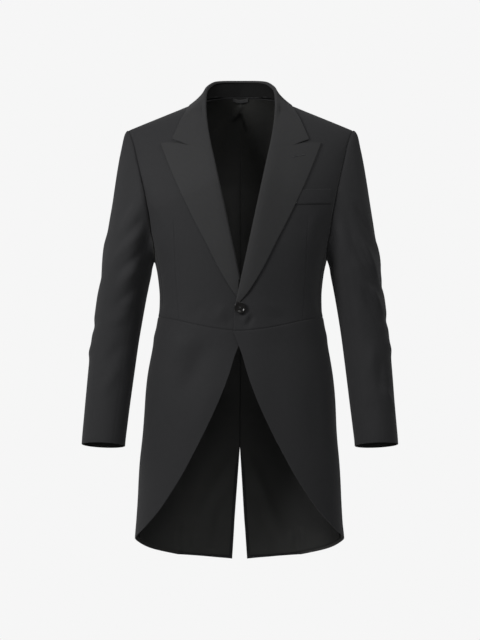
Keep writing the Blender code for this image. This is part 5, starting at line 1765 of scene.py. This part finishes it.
@dataclass
class Inside:
    """What shows inside: the back's lining with its pleat and seam, the tails' linings and the loop."""

    shop: Wardrobe
    backs: Backs
    gap: float = 2.4
    lower_gap: float = 1.6
    thickness: float = 1.0
    above_hem: float = 7.0
    past_skirt_seam: float = 45.0
    tail_shadow: float = 34.0
    tail_shade_corner: Pair = (150.0, -865.0)
    tail_shade_corner_size: Pair = (60.0, 75.0)
    pleat_line: tuple[Pair, ...] = ((-17, -28), (0, -8), (16, -54))
    neck_shadow: Pair = (50.0, -45.0)
    neck_shadow_size: Pair = (30.0, 55.0)
    seam_top: float = -52.0
    eye_height: float = -437.3
    farther: float = 0.937
    nearer: float = 1.067
    loop_half: float = 17.0
    loop_width: float = 7.6
    loop_z: float = 20.5
    loop_bow: float = 3.4
    loop_sag: float = 1.2
    loop_in: float = 5.2
    loop_thickness: float = 0.9
    back_cut: Cut = Cut(0.420, 0.460, 0.80, ("back_left_cloth", "back_right_cloth"))
    tail_cut: Cut = Cut(0.300, 0.500, 0.72, ("back_left_cloth",))
    loop_cut: Cut = Cut(0.037, 0.010, 0.80, ("back_lining_cloth",))

    def pleat_painted_shade(self, grid: Array) -> Array:
        """Paints shade into the pleat's two folds, and darkens the centre seam below it."""
        x, z = grid[..., 0], grid[..., 2]
        left, apex, right = self.pleat_line
        below = np.clip((apex[1] - z) / 3.0, 0, 1)
        lines, shades = [], []
        for end, half_width, fades_over in ((left, 2.6, 8.0), (right, 2.8, 16.0)):
            line = apex[0] + (end[0] - apex[0]) * (z - apex[1]) / (end[1] - apex[1])
            fade = 1 - between(-z, -end[1] - fades_over, -end[1] + 4.0)
            lines.append(line)
            shades.append(np.exp(-(((x - line) / half_width) ** 2)) * fade)
        inside = between(x - lines[0], -1.0, 2.0) * between(lines[1] - x, -1.0, 2.0)
        inside = inside * (1 - between(-z, 12.0, 30.0))
        return np.maximum(np.maximum(*shades), inside) * below

    @staticmethod
    def patch(grid: Array, at: Pair, size: Pair) -> Array:
        """Gives a soft round patch, 1 at its middle, as seen from the front."""
        return np.exp(-(((grid[..., 0] - at[0]) / size[0]) ** 2) - ((grid[..., 2] - at[1]) / size[1]) ** 2)

    def build_back(self, angle: Array, height: Array, waist: int) -> None:
        """Makes the upper lining across both backs."""
        shop, figure = self.shop, self.shop.figure
        edge_gap = 0.8 * between(np.linspace(0, 1, angle.shape[1]), 0.7, 1.0)
        lower = self.lower_gap * between(-height[: waist + 1], 60, 140)
        half = figure.on(angle[: waist + 1], height[: waist + 1], -self.gap - edge_gap - lower)
        half[:, -1] += (half[:, -2] - half[:, -1]) * 0.3
        left, right = (creased(figure.place(half, side), -side, BODY_CREASES) for side in (1, -1))
        both = creased(np.concatenate([right[:, :0:-1], left], axis=1), 1, LINING_CREASES)
        off = np.abs(both[..., 0] - both[:, both.shape[1] // 2, 0][:, None])
        seam = np.exp(-((off / 1.1) ** 2)) * between(-both[..., 2], -self.seam_top, -self.seam_top + 30.0)
        # Painted shade over a soft patch on the right below the neck, and in the pleat's folds.
        shade = self.patch(both, self.neck_shadow, self.neck_shadow_size) * 1.1
        shade = np.maximum(self.pleat_painted_shade(both) * 1.5, shade)
        piece = Piece("back_lining", both, -1, self.thickness, groove=seam, shade=shade, shade_inner=True)
        piece.top = piece.bottom = piece.first = piece.last = Edge.HIDDEN
        shop.sew(piece, self.back_cut, shop.lining, slot="lining")

    def build_tails(self, angle: Array, height: Array, waist: int) -> None:
        """Makes each tail's lining, which turns a little way onto the skirt."""
        shop, figure, pattern = self.shop, self.shop.figure, self.shop.pattern
        for name, side in SIDES:
            tail_angle, tail_height = angle[waist:].copy(), height[waist:].copy()
            first, last = tail_angle[:, :1], tail_angle[:, -1:]
            margin = 0.12 + 1.2 * ease((pattern.vent_top - tail_height[:, :1]) / 60)
            share = (tail_angle - first) / (last - first)
            rise = np.clip((last - self.past_skirt_seam - first + margin) / (last - first + margin), 0, 4)
            tail_angle = first - margin + (last - first + margin) * rise * share
            lowest = pattern.hem_height(tail_angle[-1:]) + self.above_hem
            top = tail_height[:1] + 0 * tail_height
            fall = (tail_height - top) / (tail_height[-1:] - top)
            tail_height = top + (lowest - top) * fall
            grid = figure.place(figure.on(tail_angle, tail_height, -self.gap - self.lower_gap), side)
            grid = creased(grid, -side, BODY_CREASES)
            outer = creased(grid, side, TAIL_LINING_CREASES)[:, ::-1]
            piece = Piece(f"tail_lining_{name}", outer, side, self.thickness)
            # Painted shade on the tails' linings, from cutaway_shade.
            piece.shade, piece.shade_inner = self.cutaway_shade(outer), True
            piece.top = piece.bottom = piece.first = piece.last = Edge.HIDDEN
            shop.sew(piece, self.tail_cut, shop.lining, slot="lining")

    def cutaway_shade(self, grid: Array) -> Array:
        """Paints shade on the tail's lining where the cutaway fronts keep the light off it, and in a corner,
        as seen from the front.

        The fronts' edge is nearer to the eye than the lining, so it is scaled about the eye's height.
        """
        x, z = grid[..., 0], grid[..., 2]
        front = [row for row in self.shop.pattern.hem.rows if not row[0]]
        level = -self.eye_height - (z - self.eye_height) * self.farther
        seen = np.interp(level, [-row[2] for row in front], [row[1] for row in front]) * self.nearer
        # Painted shade over a patch at the lower outer corner, which light reaches past the cutaway.
        corner_shade = self.patch(grid, self.tail_shade_corner, self.tail_shade_corner_size)
        reach = self.tail_shadow * np.where(x > 0, 1.5, 1.1)
        inside = np.maximum(seen - np.abs(x), 0) / reach
        return np.exp(-(inside**2)) * np.where(x > 0, 0.95, 0.9) + 0.5 * corner_shade

    def build_loop(self) -> None:
        """Makes the hanger loop."""
        shop, figure = self.shop, self.shop.figure
        across = np.linspace(-self.loop_half, self.loop_half, 41)
        share = across / self.loop_half
        rows = []
        for step in np.linspace(0.5, -0.5, 9):
            height = self.loop_z + self.loop_width * step + self.loop_sag * (share**2 - 1)
            bow = self.loop_bow * (1 - share**2) ** 2
            rows.append(figure.over(across, height, -self.loop_in - bow, behind=True))
        piece = Piece("hanger_loop", np.array(rows), -1, self.loop_thickness)
        piece.top = piece.bottom = Edge.FREE
        piece.first = piece.last = Edge.HIDDEN
        shop.sew(piece, self.loop_cut, LINING_PAINTED_HIGHLIGHT, slot="lining")

    def build(self) -> None:
        """Makes the linings and the loop."""
        angle, height = self.backs.grid()
        pattern = self.shop.pattern
        level = float(pattern.waist_height(pattern.back_side_waist_angle))
        waist = int(np.argmin(np.abs(height[:, -1] - level)))
        self.build_back(angle, height, waist)
        self.build_tails(angle, height, waist)
        self.build_loop()


@dataclass
class PocketWelt:
    """The breast pocket's welt, on the wearer's left."""

    shop: Wardrobe
    lapels: Lapels
    width: float = 70.0
    step: float = 3.0
    outer_x: float = 180.0
    bottom_outer_z: float = -206.0
    slope: float = 0.055
    height: float = 29.0
    off_lapel: float = 1.2
    rise: float = 1.5
    thickness: float = 1.2
    cut: Cut = Cut(0.078, 0.027, 0.95, ("front_left_cloth",))

    def build(self) -> None:
        """Makes the welt over the chest."""
        shop, figure = self.shop, self.shop.figure
        rows = []
        for step in spread(self.height, self.step)[::-1]:
            outer_z = self.bottom_outer_z + self.height * step
            inner_z = outer_z - self.slope * self.width
            inner_x = float(self.lapels.edge.read("across", inner_z)) + self.off_lapel
            across = inner_x + (self.outer_x - inner_x) * spread(self.width, self.step)
            height = outer_z - self.slope * (self.outer_x - across)
            rows.append(figure.over(across, height, self.rise, shop.lift(1)))
        piece = Piece("breast_welt", figure.place(np.array(rows), 1), 1, self.thickness, top=Edge.FREE)
        piece.first = piece.last = Edge.FLAT_SEAM
        shop.sew(piece, self.cut, shop.wool)


@dataclass
class Buttonhole:
    """The keyhole buttonhole worked in the left lapel: a purl of thread round a slit."""

    shop: Wardrobe
    lapels: Lapels
    eye: Pair = (105.0, -113.6)
    end: Pair = (127.0, -109.8)
    eye_radius: float = 1.9
    slit_half: float = 0.75
    slit_radius: float = 0.62
    slit_below: float = 0.25
    purl_radius: float = 0.5
    purl_above: float = 0.15
    bead: float = 0.12
    stitches: int = 64

    def outline(self) -> Array:
        """Gives the keyhole's outline, as places on the lapel."""
        eye, end = np.array(self.eye), np.array(self.end)
        way = unit(end - eye)
        across = np.array([-way[1], way[0]])
        turns = np.radians(np.linspace(32, 328, 16))
        round_eye = [eye + self.eye_radius * (np.cos(t) * way + np.sin(t) * across) for t in turns]
        run = np.linspace(self.eye_radius + 0.8, np.linalg.norm(end - eye), 12)
        low = [eye + way * r - across * self.slit_half for r in run]
        high = [eye + way * r + across * self.slit_half for r in run[::-1]]
        return np.array(round_eye + low + high)

    def build(self) -> None:
        """Makes the purl's two turns and the dark slit within it."""
        shop, outline = self.shop, self.outline()
        closed = np.concatenate([outline, outline[:1]])
        run = np.concatenate([[0], np.cumsum(np.linalg.norm(np.diff(closed, axis=0), axis=1))])
        at = np.linspace(0, run[-1], self.stitches * 4 + 1)[:-1]
        x, z = np.interp(at, run, closed[:, 0]), np.interp(at, run, closed[:, 1])
        beads = self.bead * np.abs(np.sin(np.arange(len(at)) * np.pi / 4))
        path = self.lapels.over(x, z, self.purl_above) + np.array([0.0, -1.0, 0.0]) * beads[:, None]
        shop.hang(tube("buttonhole_purl", path, self.purl_radius, THREAD, closed=True), "wool")
        eye, end = np.array(self.eye), np.array(self.end)
        x, z = (eye + (end - eye) * np.linspace(-0.04, 0.98, 30)[:, None]).T
        path = self.lapels.over(x, z, -self.slit_below)
        shop.hang(tube("buttonhole_slit", path, self.slit_radius, THREAD), "wool")


@dataclass
class Button:
    """The front button: a turned horn disc with a raised rim, four holes and crossed thread."""

    shop: Wardrobe
    at: Pair = (-1.0, -413.0)
    radius: float = 11.25
    low: float = 2.4
    thick: float = 4.2
    rim: float = 1.7
    dish: float = 1.5
    hole_off: float = 2.1
    hole_radius: float = 0.85
    hole_rim: float = 0.22
    thread_radius: float = 0.24
    strands: tuple[float, ...] = (-0.35, 0.0, 0.35)
    clear: float = 0.3
    steps: int = 96

    def profile(self) -> list[Pair]:
        """Gives the button's turned outline, from the middle of its face round to its shank."""
        radius, low, top = self.radius, self.low, self.low + self.thick
        dish = [(0.0, top - 1.5), (1.6, top - 1.48), (3.4, top - 1.42), (5.4, top - 1.28), (6.9, top - 0.98)]
        brim = [
            (radius + self.rim * (np.cos(t) - 1) * 0.9, top - 0.55 + 0.55 * np.sin(t))
            for t in np.radians(np.linspace(150, -10, 12))
        ]
        under = [(radius, top - 1.5), (radius - 0.35, low + 1.2), (radius - 1.5, low + 0.3), (3.2, low)]
        return dish + brim + under + [(2.6, low - 0.6), (2.6, 0.0), (0.0, 0.0)]

    def build(self) -> None:
        """Makes the disc, its holes and its thread."""
        shop, figure = self.shop, self.shop.figure
        seat = figure.point(figure.angle_at(*self.at), self.at[1], shop.lift(1))
        points, rings = [], []
        for across, up in self.profile():
            if across == 0:
                rings.append([len(points)])
                points.append((0.0, 0.0, up))
                continue
            rings.append(list(range(len(points), len(points) + self.steps)))
            turns = np.linspace(0, 2 * np.pi, self.steps + 1)[:-1]
            points.extend((across * np.cos(t), across * np.sin(t), up) for t in turns)
        faces = []
        for upper, lower in zip(rings[:-1], rings[1:]):
            for k in range(self.steps):
                following = (k + 1) % self.steps
                corners = [upper[k % len(upper)], lower[k % len(lower)]]
                corners += [lower[following % len(lower)], upper[following % len(upper)]]
                faces.append(tuple(dict.fromkeys(corners)))
        mesh = bpy.data.meshes.new("front_button_horn")
        mesh.from_pydata([tuple(np.array(p) * MM) for p in points], [], faces)
        mesh.materials.append(HORN.material())
        mesh.shade_smooth()
        made = shown(mesh)
        made.rotation_euler = (np.pi / 2, 0.0, 0.0)
        made.location = (seat[0] * MM, (seat[1] - self.clear) * MM, seat[2] * MM)
        shop.hang(made, "horn", "front_button")
        self.sew(seat)

    def sew(self, seat: Array) -> None:
        """Makes the dark rims of the four holes, and the thread that crosses between them."""
        shop, face = self.shop, self.clear + self.low + self.thick - self.dish
        spots = [(self.hole_off * sx, self.hole_off * sz) for sx in (-1, 1) for sz in (-1, 1)]
        turns = np.linspace(0, 2 * np.pi, 17)[:-1]
        for number, (x, z) in enumerate(spots):
            around = seat[0] + x + self.hole_radius * np.cos(turns)
            up = seat[2] + z + self.hole_radius * np.sin(turns)
            ring = np.stack([around, np.full(len(turns), seat[1] - face), up], axis=1)
            shop.hang(tube(f"button_hole_rim_{number}", ring, self.hole_rim, HORN, closed=True), "horn")
        run = np.linspace(0, 1, 13)
        for number, (start, end) in enumerate(((spots[0], spots[3]), (spots[1], spots[2]))):
            for strand_number, strand in enumerate(self.strands):
                x = seat[0] + start[0] + (end[0] - start[0]) * run + strand
                z = seat[2] + start[1] + (end[1] - start[1]) * run
                y = seat[1] - face + 0.6 - (0.9 + 0.35 * number) * np.sin(np.pi * run) ** 0.5
                path, name = np.stack([x, y, z], axis=1), f"button_thread_{number}_{strand_number}"
                shop.hang(tube(name, path, self.thread_radius, THREAD), "horn")


@dataclass
class Studio:
    """A plain pale floor, a pale surround, soft lights and the camera at the photo's angle."""

    camera_at: Point = (-0.0012, -4.0, -0.4373)
    lens: float = 110.8
    surround: Colour = (0.9216, 0.9216, 0.9216)
    air: Colour = (0.97, 0.985, 1.0)
    ambient: float = 0.15
    floor_z: float = -1.26
    floor_radius: float = 0.85
    floor_colour: Colour = (0.86, 0.86, 0.86)
    floor_roughness: float = 0.9
    lights: Table = Table(
        "name at toward size power",
        (
            ("key", (-1.3, -1.45, 0.4), (0.0, 0.0, -0.1), 0.7, 32.0),
            ("front", (0.5, -3.3, 1.7), (0.0, 0.0, -0.35), 1.6, 26.0),
            ("side", (-3.2, 1.0, 0.4), (0.0, 0.0, -0.3), 1.4, 10.0),
            ("rim", (1.6, -0.7, 1.7), (0.1, 0.0, 0.0), 1.2, 15.0),
        ),
    )

    def build(self) -> None:
        """Makes the surround, the floor, the lights and the camera."""
        scene = bpy.context.scene
        scene.world = bpy.data.worlds.new("surround")
        board = Board(scene.world)
        inputs = {"Color": (*self.air, 1.0), "Strength": self.ambient}
        cast = board.node("ShaderNodeBackground", {}, inputs).outputs["Background"]
        seen = board.node("ShaderNodeBackground", {}, {"Color": (*self.surround, 1.0)}).outputs["Background"]
        looking = board.node("ShaderNodeLightPath").outputs["Is Camera Ray"]
        chosen = board.node("ShaderNodeMixShader", {}, {"Fac": looking, 1: cast, 2: seen})
        board.feed(board.tree.nodes["World Output"].inputs["Surface"], chosen.outputs["Shader"])
        scene.view_settings.view_transform = "Standard"
        self.floor()
        for row in self.lights.rows:
            self.light(*row)
        lens = bpy.data.cameras.new("camera")
        lens.lens = self.lens
        lens.clip_end = 50.0
        scene.camera = bpy.data.objects.new("camera", lens)
        scene.camera.location = self.camera_at
        scene.camera.rotation_euler = (np.pi / 2, 0.0, 0.0)
        scene.collection.objects.link(scene.camera)

    def floor(self) -> None:
        """Makes the floor, a pale disc well below the coat."""
        turns = np.linspace(0, 2 * np.pi, 65)[:-1]
        ring = [(self.floor_radius * np.cos(t), self.floor_radius * np.sin(t), self.floor_z) for t in turns]
        mesh = bpy.data.meshes.new("floor")
        mesh.from_pydata(ring, [], [tuple(range(len(ring)))])
        board = Board(bpy.data.materials.new("pale_floor"))
        mesh.materials.append(board.dress((*self.floor_colour, 1.0), self.floor_roughness))
        shown(mesh)

    @staticmethod
    def light(name: str, at: tuple, toward: tuple, size: float, power: float) -> None:
        """Makes one soft square light that faces a point."""
        lamp = bpy.data.lights.new(name, "AREA")
        lamp.size = size
        lamp.energy = power
        made = bpy.data.objects.new(name, lamp)
        made.location = at
        way = np.array(toward) - np.array(at)
        flat = np.hypot(way[0], way[1])
        made.rotation_euler = (np.arctan2(flat, -way[2]), 0.0, np.arctan2(way[1], way[0]) - np.pi / 2)
        bpy.context.scene.collection.objects.link(made)


def main() -> None:
    """Loads the frame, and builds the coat's pieces in order."""
    logging.basicConfig(level=logging.INFO, format="%(name)s: %(message)s")
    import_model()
    shop = Wardrobe()
    backs = Backs(shop)
    lapels = Lapels(shop)
    Bodice(shop).build()
    backs.build()
    Skirts(shop).build()
    Sleeves(shop).build()
    lapels.build()
    Collar(shop, lapels).build()
    Inside(shop, backs).build()
    PocketWelt(shop, lapels).build()
    Buttonhole(shop, lapels).build()
    Button(shop).build()
    Studio().build()


if __name__ == "__main__":
    main()
